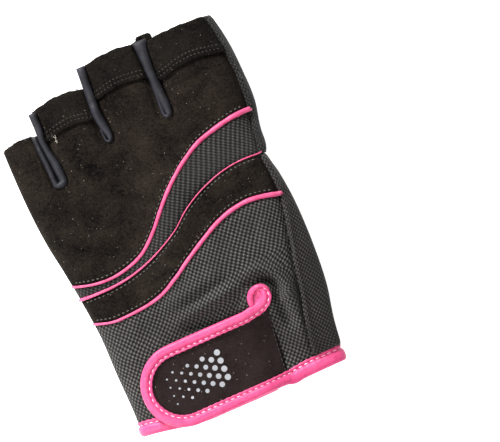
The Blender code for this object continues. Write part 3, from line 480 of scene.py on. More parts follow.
# %% Fingers
STRIPS = [
    {
        "roll": [
            (32.5, -0.4, 1.6), (25, -0.2, 1.6), (20, -0.75, 1.35), (15, 0.0, 1.4),
            (10, 1.0, 1.7), (5, 1.5, 1.75), (2.2, 1.5, 1.6),
        ],
        "under": [
            (23.5, -3.2, 1.3), (18.5, -3.1, 1.2), (13.5, -2.6, 1.2),
            (8, -2.1, 1.15), (4.5, -2.2, 1.2), (2.2, -2.0, 1.3),
        ],
        "under_drop": 0.15,
    },
    {
        "roll": [
            (33, 0.1, 1.75), (23, -0.65, 1.85), (14, -1.2, 1.8),
            (8, -0.35, 1.95), (4.8, 0.5, 1.65), (2.4, 1.1, 1.2),
        ],
        "under": [(8, -1.2, 0.5), (6, -1.5, 0.6), (4.8, -1.5, 0.6), (2.4, -1.15, 0.6)],
        "under_drop": 0.5,
    },
    {
        "roll": [
            (33.6, 1.3, 3.2), (32, 0.9, 2.7), (28, 0.43, 2.1), (22, -0.2, 1.9),
            (16, -0.3, 1.8), (10, 0.1, 1.9), (5.8, 0.6, 1.85), (2.4, 0.75, 1.4),
        ],
        "under": [(32.5, -1.2, 0.8), (10, -1.4, 0.8), (5.8, -1.65, 0.75), (2.4, -1.35, 0.95)],
        "under_drop": 0.5,
    },
]
UNDER_STRIP = 0.5  # share of a strip's half width that the suede reaches under it
PALM_GAP_HALF = 0.25 * MM  # the palm's fingers close on the strip's walls
GAP_WIDENING = 0.25  # share by which a gap is wider a quarter of the length further up
SIDE_TUCK = 0.3 * MM  # the back's cloths reach this far under the side panel's rolled edge
RAGGED = ((0.0008, 19, 1), (0.0004, 43, 2))  # waves of an edge cut by hand: rise, waves, shift a finger
HEM_ARC = (0.08, 0.80)  # start and run of the scalloped arc, as shares of a half turn


def gap_half(y):
    return GAP_HALF * (1 + GAP_WIDENING * smooth((y - length_at(GAPS[0]["crotch"])) / (0.25 * GLOVE_LENGTH)))


def finger_end(k, share):
    finger = FINGERS[k]
    ragged = sum(rise * np.sin(share * waves + shift * k) for rise, waves, shift in RAGGED)
    return length_at(finger["end"] + finger["bulge"] * (1 - (2 * share - 1) ** 2) + ragged)


def back_last(y):
    return side_seam(y) + SIDE_TUCK / width(y)


def gap_edges(k, y, side):
    """How far a gap's two edges are off its middle line."""
    half = gap_half(y)
    if side < 0:
        return -PALM_GAP_HALF + 0 * y, PALM_GAP_HALF + 0 * y
    up = (y - length_at(GAPS[k]["crotch"])) / MM
    edges = []
    for leg, sign in (("under", -1), ("roll", 1)):
        rows = np.array(sorted(STRIPS[k][leg]))
        edges.append(np.interp(up, rows[:, 0], rows[:, 1] + sign * UNDER_STRIP * rows[:, 2]))
    rows = np.array(sorted(STRIPS[k]["roll"]))
    past = smooth((up - STRIPS[k]["under"][0][0] + 2) / 3)
    free = np.interp(up, rows[:, 0], rows[:, 1] - UNDER_STRIP * rows[:, 2])
    left = edges[0] + (free - edges[0]) * past
    return np.maximum(left * MM, -half), np.minimum(edges[1] * MM, half)


def finger_bounds(k, y, last, side=1):
    """Shares across of a finger's two edges at y."""
    low = 0 * y if k == 0 else GAPS[k - 1]["across"] + gap_edges(k - 1, y, side)[1] / width(y)
    high = last(y) if k == 3 else GAPS[k]["across"] + gap_edges(k, y, side)[0] / width(y)
    return low, high


def hem_low_edge(k, share):
    finger = FINGERS[k]
    arc = np.sin(math.pi * (HEM_ARC[0] + HEM_ARC[1] * share))
    return length_at(finger["hem_low"] + finger["hem_rise"] * arc)


print("finger ends at", [round(float(finger_end(k, 0.5)) / MM, 1) for k in range(4)], "mm")

# %% [markdown]
# Folds are what makes cloth look like cloth. They could be simulated or sculpted, but a simulation puts
# them where it likes, and these have to lie as on the real glove. So they are bumps that are added
# up. Each row is one long fold: where it starts and ends, how wide it is and how high it stands, or
# how deep if it is a crease, all in millimetres. The mesh bunches in two arcs round the tape's curl at
# the end of the wrist slit, and its folds run on from there beside the strap.

# %% Folds of the back
FOLDS = table(
    "x0 y0 x1 y1 half rise",
    (13, -31, -22, -36.5, 3.4, 2.5),
    (14, -36, -20, -40, 2.2, -2.3),
    (10, -23, -24, -29, 3.6, 1.4),
    (12, -27.5, -14, -30, 1.8, -1.2),
    (6, -17, -12, -23, 3.0, -0.4),
    (31, -40, 30, -66, 3.0, 1.9),
    (25.5, -44, 26, -57, 2.4, -2.3),
    (21.5, -45, 21, -62, 1.3, -0.9),
    (30, -22, 36, -8, 3.5, 0.6),
    (26, -18, 31, -6, 2.5, -0.5),
    (-46, -22, -30, -30, 2.4, -0.7),
    (-47, -38, -30, -44, 3.0, 0.7),
    (-40, -48, -46, -62, 3.0, 0.8),
    (-37, 33, -30, 6, 5.0, -0.9),
    (-12, 41, -6, 14, 5.0, -0.9),
    (14, 41, 17, 26, 4.5, -0.8),
    (-48, 10, -26, 14, 5.0, 0.5),
    (20, 40, 42, 44, 5.0, 0.5),
    (-50, 1, -34, -4, 2.4, -0.5),
)
EYE = np.array([19.6 * MM, -39.4 * MM])  # middle of the tape's curl
ARCS = table(
    "radius half rise from to",
    (7.2, 1.6, -2.7, -50, 145),
    (11.6, 2.4, 2.8, -35, 118),
)


def bell(distance, half):
    """A smooth bump of height 1 round a line."""
    return np.exp(-((distance / half) ** 2))


def long_fold(x, y, fold):
    start = np.array([fold["x0"], fold["y0"]]) * MM
    run = np.array([fold["x1"], fold["y1"]]) * MM - start
    t = ((x - start[0]) * run[0] + (y - start[1]) * run[1]) / (run @ run)
    held = np.clip(t, 0, 1)
    away = np.hypot(x - start[0] - held * run[0], y - start[1] - held * run[1])
    fade = smooth(held / 0.25 + 0.25) * smooth((1 - held) / 0.4)
    return fold["rise"] * MM * bell(away, fold["half"] * MM) * fade


def arc_fold(x, y, arc):
    away = np.hypot(x - EYE[0], y - EYE[1]) - arc["radius"] * MM
    turn = np.degrees(np.arctan2(y - EYE[1], x - EYE[0]))
    fade = smooth((turn - arc["from"]) / 35) * smooth((arc["to"] - turn) / 40)
    return arc["rise"] * MM * bell(away, arc["half"] * MM) * fade


WAVES = table(
    "turn length rise shift",
    (20, 23, 0.22, 0.3),
    (75, 17, 0.18, 1.1),
    (130, 13, 0.12, 2.4),
    (165, 9, 0.07, 4.0),
    (50, 6.5, 0.05, 5.2),
)


def unevenness(x, y):
    """Slow waves of cloth that was packed and opened again."""
    total = 0.0
    for wave in WAVES:
        turn = math.radians(wave["turn"])
        along = (x * math.cos(turn) + y * math.sin(turn)) / (wave["length"] * MM)
        total = total + wave["rise"] * MM * np.sin(2 * math.pi * along + wave["shift"])
    return total


print(len(FOLDS), "folds,", len(ARCS), "arcs and", len(WAVES), "waves")

# %% [markdown]
# Sewing pulls cloth down: beside the pipings, along the side seam, where the back's cloths dive
# under the rolled edge of the side panel, and below the scalloped hems. Each pull is a smooth bump
# across the seam's line, taken away from the surface, so it moves with the seam.

# %% Seams in the surface
SEAM_PULL, SEAM_PULL_HALF = 0.5 * MM, 1.6 * MM
SIDE_PULL, SIDE_PULL_HALF = 1.6 * MM, 1.1 * MM
HEM_PULL, HEM_PULL_HALF, HEM_PULL_BELOW = 0.65 * MM, 0.8 * MM, 0.5 * MM
STRIP_PULL, STRIP_PULL_HALF = 1.2 * MM, 1.0 * MM
SLANT = 0.9  # a piping runs at a slant, so its pull reaches this much less far than up the glove
FREE_UP, FREE_RUN = 0.035, 0.05  # shares of the length: the cuff tape holds the side seam flat below
HEM_SIDE = 0.02  # share of a finger's width over which a hem's pull ends


def seam_pull(x, y):
    u = np.clip((x - little_edge(y)) / width(y), 0, 1)
    total = 0.0
    for name in PIPING_RADIUS:
        total = total + bell((y - piping_line(name, u)) * SLANT, SEAM_PULL_HALF)
    side = (x - across(side_seam(y), y)) / SIDE_PULL_HALF
    free = smooth((share_at(y) - FREE_UP) / FREE_RUN)
    return SEAM_PULL * total + SIDE_PULL * free * bell(side, 1) * (side < 0.3)


def hem_pull(x, y):
    u = share_across(x, y)
    total = 0.0
    for k in (1, 2, 3):
        low, high = finger_bounds(k, y, back_last)
        share = (u - low) / (high - low)
        inside = smooth((share + HEM_SIDE) / (2 * HEM_SIDE)) * smooth((1 + HEM_SIDE - share) / (2 * HEM_SIDE))
        below = y - hem_low_edge(k, np.clip(share, 0, 1)) + HEM_PULL_BELOW
        total = total + inside * bell(below, HEM_PULL_HALF)
    return HEM_PULL * total


def strip_pull(x, y):
    """The suede dives beside the strips between the fingers."""
    total = 0.0
    for k, gap in enumerate(GAPS):
        off = x - across(gap["across"], y)
        left, right = gap_edges(k, y, 1)
        beyond = np.maximum(left - off, off - right)
        fade = smooth((y - length_at(gap["crotch"]) + 0.5 * MM) / (3 * MM))
        total = total + fade * (beyond > 0) * bell(beyond - STRIP_PULL_HALF, STRIP_PULL_HALF)
    return STRIP_PULL * total


def relief(x, y):
    total = unevenness(x, y) - seam_pull(x, y) - hem_pull(x, y) - strip_pull(x, y)
    for arc in ARCS:
        total = total + arc_fold(x, y, arc)
    for fold in FOLDS:
        total = total + long_fold(x, y, fold)
    return total


print("seam pull", SEAM_PULL / MM, "mm")

# %% [markdown]
# The palm side is stretched flat where it lies on the ground, and an elastic gathers its wrist, so
# the mesh there stands in small upright pleats. Back and palm are one function with a side of +1 or
# -1, and both round off to the same height at the folds, so that they meet there without a gap.

# %% Surface of the hand
PLEAT, PLEAT_RISE = 4.4 * MM, 0.55 * MM
ELASTIC_LOW, ELASTIC_HIGH = 0.05, 0.225  # shares of the length between which the wrist is gathered
CUFF_LIFT_UP, CUFF_LIFT_RUN = 0.03, 0.08
PALM_DIP = 0.7  # the palm's dips between the fingers, as a share of the back's
WRIST_UP, WRIST_RUN = 0.62, 0.30  # the thumb side's wide roll ends at this share, and fades over that


def palm_relief(x, y):
    band = smooth((share_at(y) - ELASTIC_LOW) / 0.04) * smooth((ELASTIC_HIGH - share_at(y)) / 0.05)
    sway = 0.8 * np.sin(y / (9 * MM)) + 0.5 * np.sin(x / (7 * MM))
    pleats = (1 + np.sin(2 * math.pi * x / PLEAT + sway)) / 2
    return -PLEAT_RISE * pleats * band


def hand_level(x, y, side, rise):
    u = np.clip((x - little_edge(y)) / width(y), 0, 1)
    over = over_thumb(x, y)
    base = THUMB_LIFT * over + CUFF_LIFT * (1 - smooth((share_at(y) - CUFF_LIFT_UP) / CUFF_LIFT_RUN))
    depth = HAND_DEPTH * depth_share(share_at(y)) + BACK_CROWN * 4 * u * (1 - u) - THUMB_SQUEEZE * over
    dip = 0.0
    for gap in GAPS:
        fade = smooth((y - length_at(gap["crotch"]) + GAP_DIP_START) / GAP_DIP_FADE)
        dip = dip + fade * bell(x - across(gap["across"], y), GAP_DIP_RUN)
    fold = base + FOLD_LEVEL * depth
    if side > 0:
        return fold + (depth * (1 - FOLD_LEVEL) - GAP_DIP * dip + relief(x, y)) * rise
    return fold - (FOLD_LEVEL * depth - PALM_DIP * GAP_DIP * dip + palm_relief(x, y)) * rise


def hand_place(u, y, side):
    x = across(u, y)
    wrist = smooth((WRIST_UP - share_at(y)) / WRIST_RUN)
    right_run = BACK_ROLL + (THUMB_ROLL - BACK_ROLL) * wrist if side > 0 else PALM_ROLL
    left_run = BACK_ROLL if side > 0 else PALM_ROLL
    near = np.minimum(
        np.maximum(x - little_edge(y), 0) / left_run,
        np.maximum(little_edge(y) + width(y) - x, 0) / right_run,
    )
    t = np.clip(near, 0, 1)
    rise = np.sqrt(np.maximum(1 - (1 - t) ** 2, 0))
    return np.stack([x, y, hand_level(x, y, side, rise)], -1)


def unit(v):
    return v / np.maximum(np.linalg.norm(v, axis=-1, keepdims=True), 1e-12)


def hand(u, y, side=1):
    """Points on the glove's outer face, and their outward normals."""
    u, y = np.broadcast_arrays(np.asarray(u, float), np.asarray(y, float))
    du, dy = 0.002, 0.25 * MM
    along_u = hand_place(np.minimum(u + du, 1), y, side) - hand_place(np.maximum(u - du, 0), y, side)
    along_y = hand_place(u, y + dy, side) - hand_place(u, y - dy, side)
    return hand_place(u, y, side), unit(np.cross(along_u, along_y)) * side


# %% [markdown]
# Every cloth is a grid of points on that surface. The builder gives it a thickness, rounds its raw
# edges, leaves out the cells of an opening, and lays a UV map over it in millimetres of cloth. The
# Solidify modifier gives a thickness too, but its edges are square, and cut cloth has soft ones.

# %% Cloth builder
EDGE_ROUNDING = (0.35, 0.8, 0.96)  # thickness left at the edge and one and two rows in


def make_mesh(name, points, faces, material, uv=None):
    mesh = bpy.data.meshes.new(name)
    mesh.from_pydata((np.asarray(points) + SHIFT).tolist(), [], faces)
    if uv is not None:
        layer = mesh.uv_layers.new(name="cloth")
        corner = np.empty(len(mesh.loops), int)
        mesh.loops.foreach_get("vertex_index", corner)
        layer.data.foreach_set("uv", np.asarray(uv)[corner].ravel())
    mesh.shade_smooth()
    mesh.materials.append(material)
    piece = bpy.data.objects.new(name, mesh)
    bpy.context.scene.collection.objects.link(piece)
    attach(piece, "root")
    return piece


def cell_corners(cells):
    """Index arrays of the four corners of each used cell."""
    j, i = np.nonzero(cells)
    return (j, i), (j, i + 1), (j + 1, i + 1), (j + 1, i)


def edge_distance(cells):
    """How many rows each point lies from the cloth's nearest raw edge."""
    rows, columns = cells.shape
    count = np.zeros((rows + 1, columns + 1), int)
    for corner in cell_corners(cells):
        np.add.at(count, corner, 1)
    distance = np.where(count < 4, 0, 99)
    for _ in range(len(EDGE_ROUNDING)):
        spread_out = distance.copy()
        spread_out[1:] = np.minimum(spread_out[1:], distance[:-1] + 1)
        spread_out[:-1] = np.minimum(spread_out[:-1], distance[1:] + 1)
        spread_out[:, 1:] = np.minimum(spread_out[:, 1:], distance[:, :-1] + 1)
        spread_out[:, :-1] = np.minimum(spread_out[:, :-1], distance[:, 1:] + 1)
        distance = spread_out
    return distance


def run_along(points, axis=0):
    """Distance run along a line or a grid of points, from its start."""
    steps = np.diff(points, axis=axis, prepend=points.take([0], axis))
    return np.cumsum(np.linalg.norm(steps, axis=-1), axis=axis)


def cloth(name, points, normals, thickness, material, cells=None, raised=0.0):
    """Closes a grid of outer points into a wall of cloth with rounded edges."""
    rows, columns = points.shape[:2]
    cells = np.ones((rows - 1, columns - 1), bool) if cells is None else cells
    distance = edge_distance(cells)
    full = np.ones(distance.shape)
    for k, share in enumerate(EDGE_ROUNDING):
        full[distance == k] = share
    middle = points + normals * (raised - thickness / 2)
    half = (full * thickness / 2)[..., None]
    number = np.arange(rows * columns).reshape(rows, columns)
    a, b, c, d = (number[corner] for corner in cell_corners(cells))
    top = np.stack([a, b, c, d], -1)
    probe = np.cross(points[0, 1] - points[0, 0], points[1, 0] - points[0, 0])
    if probe @ normals[0, 0] < 0:
        top = top[:, ::-1]
    size = rows * columns
    faces = top.tolist() + (top[:, ::-1] + size).tolist()
    seen = {}
    for face in top.tolist():
        for k in range(4):
            seen[(face[k], face[(k + 1) % 4])] = True
    for p, q in seen:
        if (q, p) not in seen:
            faces.append([q, p, p + size, q + size])
    uv = np.stack([run_along(points, 1) / MM, points[..., 1] / MM], -1).reshape(-1, 2)
    both = np.concatenate([middle + normals * half, middle - normals * half]).reshape(-1, 3)
    used = np.zeros(2 * size, bool)
    used[[v for face in faces for v in face]] = True
    new = np.cumsum(used) - 1
    faces = [[int(new[v]) for v in face] for face in faces]
    return make_mesh(name, both[used], faces, material, np.concatenate([uv, uv])[used])


def fold_steps(reach, count=12):
    """Steps that are close together at a fold, from the fold inwards."""
    return reach * (1 - np.cos(np.linspace(0, math.pi / 2, count)))


def rolled(count, run, tail):
    """Shares from a fold inwards: close together on the roll, then even."""
    return np.concatenate([fold_steps(run, count), np.linspace(run, 1, tail)[1:]])


def both_rolled(count, run, tail, far_run):
    """The same with a roll at both ends."""
    between = np.linspace(run, 1 - far_run, tail)[1:-1]
    return np.concatenate([fold_steps(run, count), between, (1 - fold_steps(far_run, count))[::-1]])


BACK_S = both_rolled(9, 0.12, 66, 0.10)


def band(low_line, high_line, last, shares, rows, side=1):
    """Grid between two lines across the hand: returns points and normals."""
    s, t = np.meshgrid(shares, np.linspace(0, 1, rows + 1))
    u = s.copy()
    for _ in range(5):
        low, high = low_line(u), high_line(u)
        y = low + (high - low) * t
        u = s * last(y)
    return hand(u, y, side)


TUCK = 0.45 * MM  # the cloths' edges reach this far under a piping


def beside_piping(name, above):
    """Line of the cloth's edge next to a piping."""

    def line(u):
        step = 0.01
        y = piping_line(name, u)
        rise = piping_line(name, u + step) - piping_line(name, u - step)
        run = across(u + step, y) - across(u - step, y)
        start, end = PIPING_RADIUS[name]
        half = start + (end - start) * u - TUCK
        return y + (1 if above else -1) * half * np.hypot(rise, run) / run

    return line


print("columns across the back", len(BACK_S))

# %% [markdown]
# The knuckle cloth is cut in one piece with the backs of four fingers. Its grid has a set of columns
# for each finger, and three columns for each gap, which stop in a round notch at the crotch. Cutting
# the gaps out of a plain sheet with a Boolean would leave slivers along the cut, and a grid has none.

# %% Suede over the knuckles, and the palm
CROTCHES = [{"u": 0.0, "up": GAPS[0]["crotch"] - 0.02}]
CROTCHES += [{"u": gap["across"], "up": gap["crotch"]} for gap in GAPS]
CROTCHES += [{"u": 1.0, "up": GAPS[2]["crotch"] - 0.01}]
crotch_share = curve(CROTCHES, "u", "up")
NOTCH = (-0.75, 0.0, 0.75)
NOTCH_UP = 2.2 * MM  # on the back the notch stops higher, under the strip's eye
START_UP = 0.045  # a first guess at the crotch line, from which each column finds its own


def lobed(low_line, last, finger_shares, rows, finger_rows, side):
    """Grid of a cloth with four finger lobes, and which of its cells are cloth."""
    columns = []
    for k in range(4):
        columns += [(k, s, None) for s in finger_shares[k]]
        if k < 3:
            columns += [(k, None, m) for m in NOTCH]
    u = np.zeros((rows + finger_rows + 1, len(columns)))
    y = np.zeros_like(u)
    t_low, t_high = np.linspace(0, 1, rows + 1), np.linspace(0, 1, finger_rows + 1)[1:]
    for c, (k, s, notch) in enumerate(columns):

        def share_of(at):
            if notch is not None:
                left, right = gap_edges(k, at, side)
                return GAPS[k]["across"] + (left + (right - left) * (1 + notch) / 2) / width(at)
            low, high = finger_bounds(k, at, last, side)
            return low + (high - low) * s

        ends = []
        for line, start in ((low_line, 0.0), (lambda v: length_at(crotch_share(v)), START_UP)):
            at = np.array(start)
            for _ in range(5):
                at = line(share_of(at))
            ends.append(float(at))
        if notch is not None:
            ends[1] = float(length_at(GAPS[k]["crotch"])) - GAP_ROUND * math.sqrt(1 - notch**2)
            ends[1] += NOTCH_UP * (side > 0)
        tip = ends[1] if notch is not None else float(finger_end(k, s))
        y[:, c] = np.concatenate([ends[0] + (ends[1] - ends[0]) * t_low, ends[1] + (tip - ends[1]) * t_high])
        u[:, c] = share_of(y[:, c])
    gap_column = np.array([notch is not None for _, _, notch in columns])
    cells = np.ones((rows + finger_rows, len(columns) - 1), bool)
    cells[rows:] = ~(gap_column[1:] | gap_column[:-1])
    points, normals = hand(u, y, side)
    return points, normals, cells


EVEN = np.linspace(0, 1, 23)
BACK_FINGERS = [rolled(9, 0.62, 11), EVEN, EVEN, np.linspace(0, 1, 25)]
points, normals, cells = lobed(beside_piping("upper", True), back_last, BACK_FINGERS, 52, 46, 1)
knuckle_suede = cloth("knuckle_suede", points, normals, SUEDE, SUEDE_BACK, cells)
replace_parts(knuckle_suede, "knuckle_panel")
print("knuckle cloth", len(knuckle_suede.data.polygons), "faces")

# %% Palm
WRIST_SEAM, UNDER_SEAM_IN = 0.222, 0.030
WINDOW_IN, WINDOW_TOP, WINDOW_RUN = 0.125, 0.520, 0.05


def under_seam(y):
    return 1 - UNDER_SEAM_IN * HAND_WIDTH / width(y)


def palm_last(y):
    hole = smooth((length_at(WINDOW_TOP + WINDOW_RUN) - y) / (WINDOW_RUN * GLOVE_LENGTH))
    return under_seam(y) - (WINDOW_IN * HAND_WIDTH / width(y) - (1 - under_seam(y))) * hole


def palm_low(u):
    return length_at(WRIST_SEAM) + SEAM / 2 + 0 * u


PALM_FINGERS = [rolled(9, 0.42, 12), EVEN, EVEN, both_rolled(5, 0.2, 16, 0.15)]
points, normals, cells = lobed(palm_low, palm_last, PALM_FINGERS, 62, 24, -1)
palm_suede = cloth("palm_suede_cloth", points, normals, SUEDE, SUEDE_PALM, cells)
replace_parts(palm_suede, "palm_panel")
print("palm cloth", len(palm_suede.data.polygons), "faces")

# %% [markdown]
# Three fingers carry a second cloth, stitched on with a scalloped lower edge. It lies on the first
# one, and the two rows of stitches pucker it, so the edge stands up and throws a thin shadow. A bump
# in the material would throw none, so the edge and the puckers are in the mesh.

# %% Finger hems
HEM_STITCH = 1.7 * MM
HEM_ROWS = (1.1 * MM, 2.7 * MM)
HEM_OFF = 0.15 * MM  # the second cloth lies this far off the first
HEM_WAVES = table("up half rise", (0.2, 0.7, 0.5), (1.9, 0.6, 0.3))  # mm: the edge, and between the rows
PUCKER = {"up": 1.9, "half": 1.7, "rise": 0.14}  # mm


def hem_columns(k, share, y):
    low, high = finger_bounds(k, y, back_last)
    inset = CLEAR / width(y)
    return low + inset + (high - low - 2 * inset) * share


def hem_rise(y, low, x):
    """How far the puckered cloth stands off its flat place."""
    above = (y - low) / MM
    edge = sum(wave["rise"] * bell(above - wave["up"], wave["half"]) for wave in HEM_WAVES)
    wave = PUCKER["rise"] * np.cos(2 * math.pi * x / HEM_STITCH)
    return (edge + wave * bell(above - PUCKER["up"], PUCKER["half"])) * MM


def finger_hem(k, rows=34):
    s, t = np.meshgrid(np.linspace(0, 1, 57), np.linspace(0, 1, rows + 1) ** 1.5)
    low, high = hem_low_edge(k, s), finger_end(k, s)
    y = low + (high - low) * t
    points, normals = hand(hem_columns(k, s, y), y)
    points = points + normals * hem_rise(y, low, points[..., 0])[..., None]
    name = FINGERS[k]["name"]
    piece = cloth(f"hem_{name}", points, normals, HEM, SUEDE_HEM, raised=HEM_OFF + HEM)
    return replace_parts(piece, f"finger_hem_{name}")


hems = [finger_hem(k) for k in (1, 2, 3)]
print("hem cloths", [len(piece.data.polygons) for piece in hems], "faces")

# %% [markdown]
# Below the knuckles come a crescent of knit, a band of suede and the big knitted panel. Each runs
# from one piping to the next; the last one is slit from the cuff up to the curl of tape. The cloths
# and the pipings read one set of curves, so no gap can open along a seam.

# %% Bands and the wrist panel
CUFF_DROP = 0.028
CUFF_HALF = {"narrow": 2.8 * MM, "wide": 3.5 * MM}
CUFF_DROP_END = 0.35
TAPE_OVERLAP = 0.5 * MM  # the cloth ends this far inside the cuff's tape
VENT_LEFT, VENT_RIGHT, VENT_TOP = 0.655, 0.725, 0.245


def cuff_line(u):
    return length_at(CUFF_DROP * smooth((CUFF_DROP_END - u) / CUFF_DROP_END))


def cuff_half(u, side):
    """Half width of the cuff's tape, which is wider at its two sides."""
    wide = smooth((u - 0.70) / 0.16) if side > 0 else smooth((u - 0.90) / 0.07)
    wide = wide + 0.7 * smooth((0.22 - u) / 0.2)
    return CUFF_HALF["narrow"] + (CUFF_HALF["wide"] - CUFF_HALF["narrow"]) * wide


def cloth_end(u, side=1):
    return cuff_line(u) + 2 * cuff_half(u, side) - TAPE_OVERLAP


def between(lower, upper, rows):
    """Grid of a cloth that runs from one piping to the next."""
    return band(beside_piping(lower, True), beside_piping(upper, False), back_last, BACK_S, rows)


# The knuckle band wears the knit with painted shade, which is darker than the wrist's
points, normals = between("middle", "upper", 26)
knuckle_mesh = cloth("knuckle_knit", points, normals, MESH, MESH_PAINTED_SHADE)
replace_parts(knuckle_mesh, "knuckle_mesh_band")
points, normals = between("lower", "middle", 24)
suede_band = cloth("suede_crescent", points, normals, SUEDE, SUEDE_BACK)
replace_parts(suede_band, "suede_band")


def wrist_grid():
    left = rolled(10, 0.19, 40) * VENT_LEFT
    right = np.linspace(0, 1, 22)
    low_rows, high_rows = 40, 30
    t = np.concatenate([np.linspace(0, 1, low_rows + 1), 1 + np.linspace(0, 1, high_rows + 1)[1:]])
    rows = []
    high_line = beside_piping("lower", False)
    vent_y = length_at(VENT_TOP)
    for share in t:
        u = np.concatenate([left, VENT_RIGHT + (0.86 - VENT_RIGHT) * right])
        for _ in range(5):
            low, high = cloth_end(u), high_line(u)
            y = low + (vent_y - low) * share if share <= 1 else vent_y + (high - vent_y) * (share - 1)
            u = np.concatenate([left, VENT_RIGHT + (back_last(y[len(left) :]) - VENT_RIGHT) * right])
        rows.append((u, y))
    u, y = (np.array([row[k] for row in rows]) for k in (0, 1))
    cells = np.ones((len(t) - 1, u.shape[1] - 1), bool)
    cells[:low_rows, len(left) - 1] = False
    points, normals = hand(u, y)
    return points, normals, cells


points, normals, cells = wrist_grid()
wrist_mesh = cloth("wrist_knit", points, normals, MESH, MESH_BACK, cells)
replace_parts(wrist_mesh, "wrist_panel")
print("wrist cloth", len(wrist_mesh.data.polygons), "faces")

# %% [markdown]
# The thumb side: a narrow strip along the index finger, and a wider panel below it that turns under
# and becomes the thumb. Both wrap round the fold, so their grid has a back part and a palm part, and
# one sheet has no crease where two would. Their edge is folded in along the side seam, which leaves a
# soft roll there.

# %% Thumb-side cloths
THUMB_CROTCH = 0.588
BACK_STEPS = np.concatenate([[0, 0.03, 0.07], 1 - (1 - np.linspace(0.1, 1, 20)) ** 1.5])
PALM_STEPS = np.linspace(0, 1, 8)[1:] ** 1.3
SEAM_ROLL, SEAM_ROLL_HALF, SEAM_ROLL_OUT = 0.7 * MM, 1.3 * MM, 0.9 * MM
STRIP_PUCKERS = table("y half rise", (17.5, 4.5, 1.5), (33, 9, 1.2))  # mm; too much cloth sewn in


def side_cloth(name, node, low, high, rows, material, puckers):
    y = np.linspace(low, high, rows + 1)[:, None]
    seam, under = side_seam(y) + 0.05 * MM / width(y), under_seam(y)
    top = hand(seam + (1 - seam) * BACK_STEPS[None, :], y + 0 * BACK_STEPS[None, :], 1)
    low_part = hand(1 + (under - 1) * PALM_STEPS[None, :], y + 0 * PALM_STEPS[None, :], -1)
    points, normals = (np.concatenate([a, b], 1) for a, b in zip(top, low_part))
    from_seam = points[..., 0] - across(side_seam(y), y)
    on_top = np.arange(points.shape[1]) < len(BACK_STEPS)
    roll = SEAM_ROLL * bell(from_seam - SEAM_ROLL_OUT, SEAM_ROLL_HALF) * on_top
    swell = 1 + 0.25 * np.sin(y / (2.9 * MM)) + 0.15 * np.sin(y / (1.7 * MM) + 1)
    bulge = sum(row["rise"] * MM * bell(y / MM - row["y"], row["half"]) for row in puckers) + 0 * y
    outward = np.clip(from_seam / (3 * MM), 0, 1) * bulge
    points = points + normals * (roll * swell)[..., None] + outward[..., None] * np.array([1.0, 0, 0])
    piece = cloth(name, points, normals, MESH, material)
    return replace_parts(piece, node)


strip_low, panel_high = length_at(THUMB_CROTCH) + 0.1 * MM, length_at(THUMB_CROTCH) - 0.1 * MM
index_strip = side_cloth(
    "index_side_knit", "index_side_strip", strip_low, finger_end(3, 1.0), 60, MESH_STRIP, STRIP_PUCKERS
)
thumb_side = side_cloth("thumb_side_knit", "thumb_side_panel", cloth_end(1.0), panel_high, 90, MESH_SIDE, [])
print("side cloths", len(index_strip.data.polygons), len(thumb_side.data.polygons), "faces")

# %% [markdown]
# The thumb tube: a flat sleeve with rounded folds. Its grid runs round the sleeve and along it, and
# leaves a hole in the upper wall, where the hand's inside opens into the thumb. At the hand's side the
# two walls meet in a seam. A squashed cylinder would be oval; here the walls stay flat, as when folded.

# %% Thumb tube
THUMB_CORNER, THUMB_ROLL_SHARE, THUMB_SIDE_ROLL = 0.18, 0.30, 7 * MM
HOLE_ALONG, HOLE_ACROSS = (0.72, 0.93), 0.70
TUBE_HALF = 31  # columns of one wall
THUMB_WALL = 0.8 * MESH


def thumb_place(a, b, face):
    low, high = thumb_corner(THUMB_MOUTH_LOW), thumb_corner(THUMB_MOUTH_HIGH)
    t = np.maximum(0.0, 1 - (1 - a) / THUMB_CORNER)
    share = 0.5 + 0.5 * b * (1 - THUMB_CORNER * (1 - np.sqrt(np.maximum(1 - t * t, 0))))
    base = thumb_base(share)
    mouth = low + (high - low) * share[..., None]
    spot = mouth + (base - mouth) * a[..., None]
    away = np.linalg.norm(spot - base, axis=-1)
    side_t, flank_t = np.clip(away / THUMB_SIDE_ROLL, 0, 1), np.clip((1 - np.abs(b)) / THUMB_ROLL_SHARE, 0, 1)
    full = np.sqrt(np.maximum(1 - (1 - side_t) ** 2, 0)) * np.sqrt(np.maximum(1 - (1 - flank_t) ** 2, 0))
    pucker = 0.25 * MM * np.sin(b * 9 + a * 5) * np.clip(full, 0, 1) * (face > 0)
    return np.concatenate([spot, (THUMB_DEPTH / 2 * (1 + face * full) - pucker)[..., None]], -1)


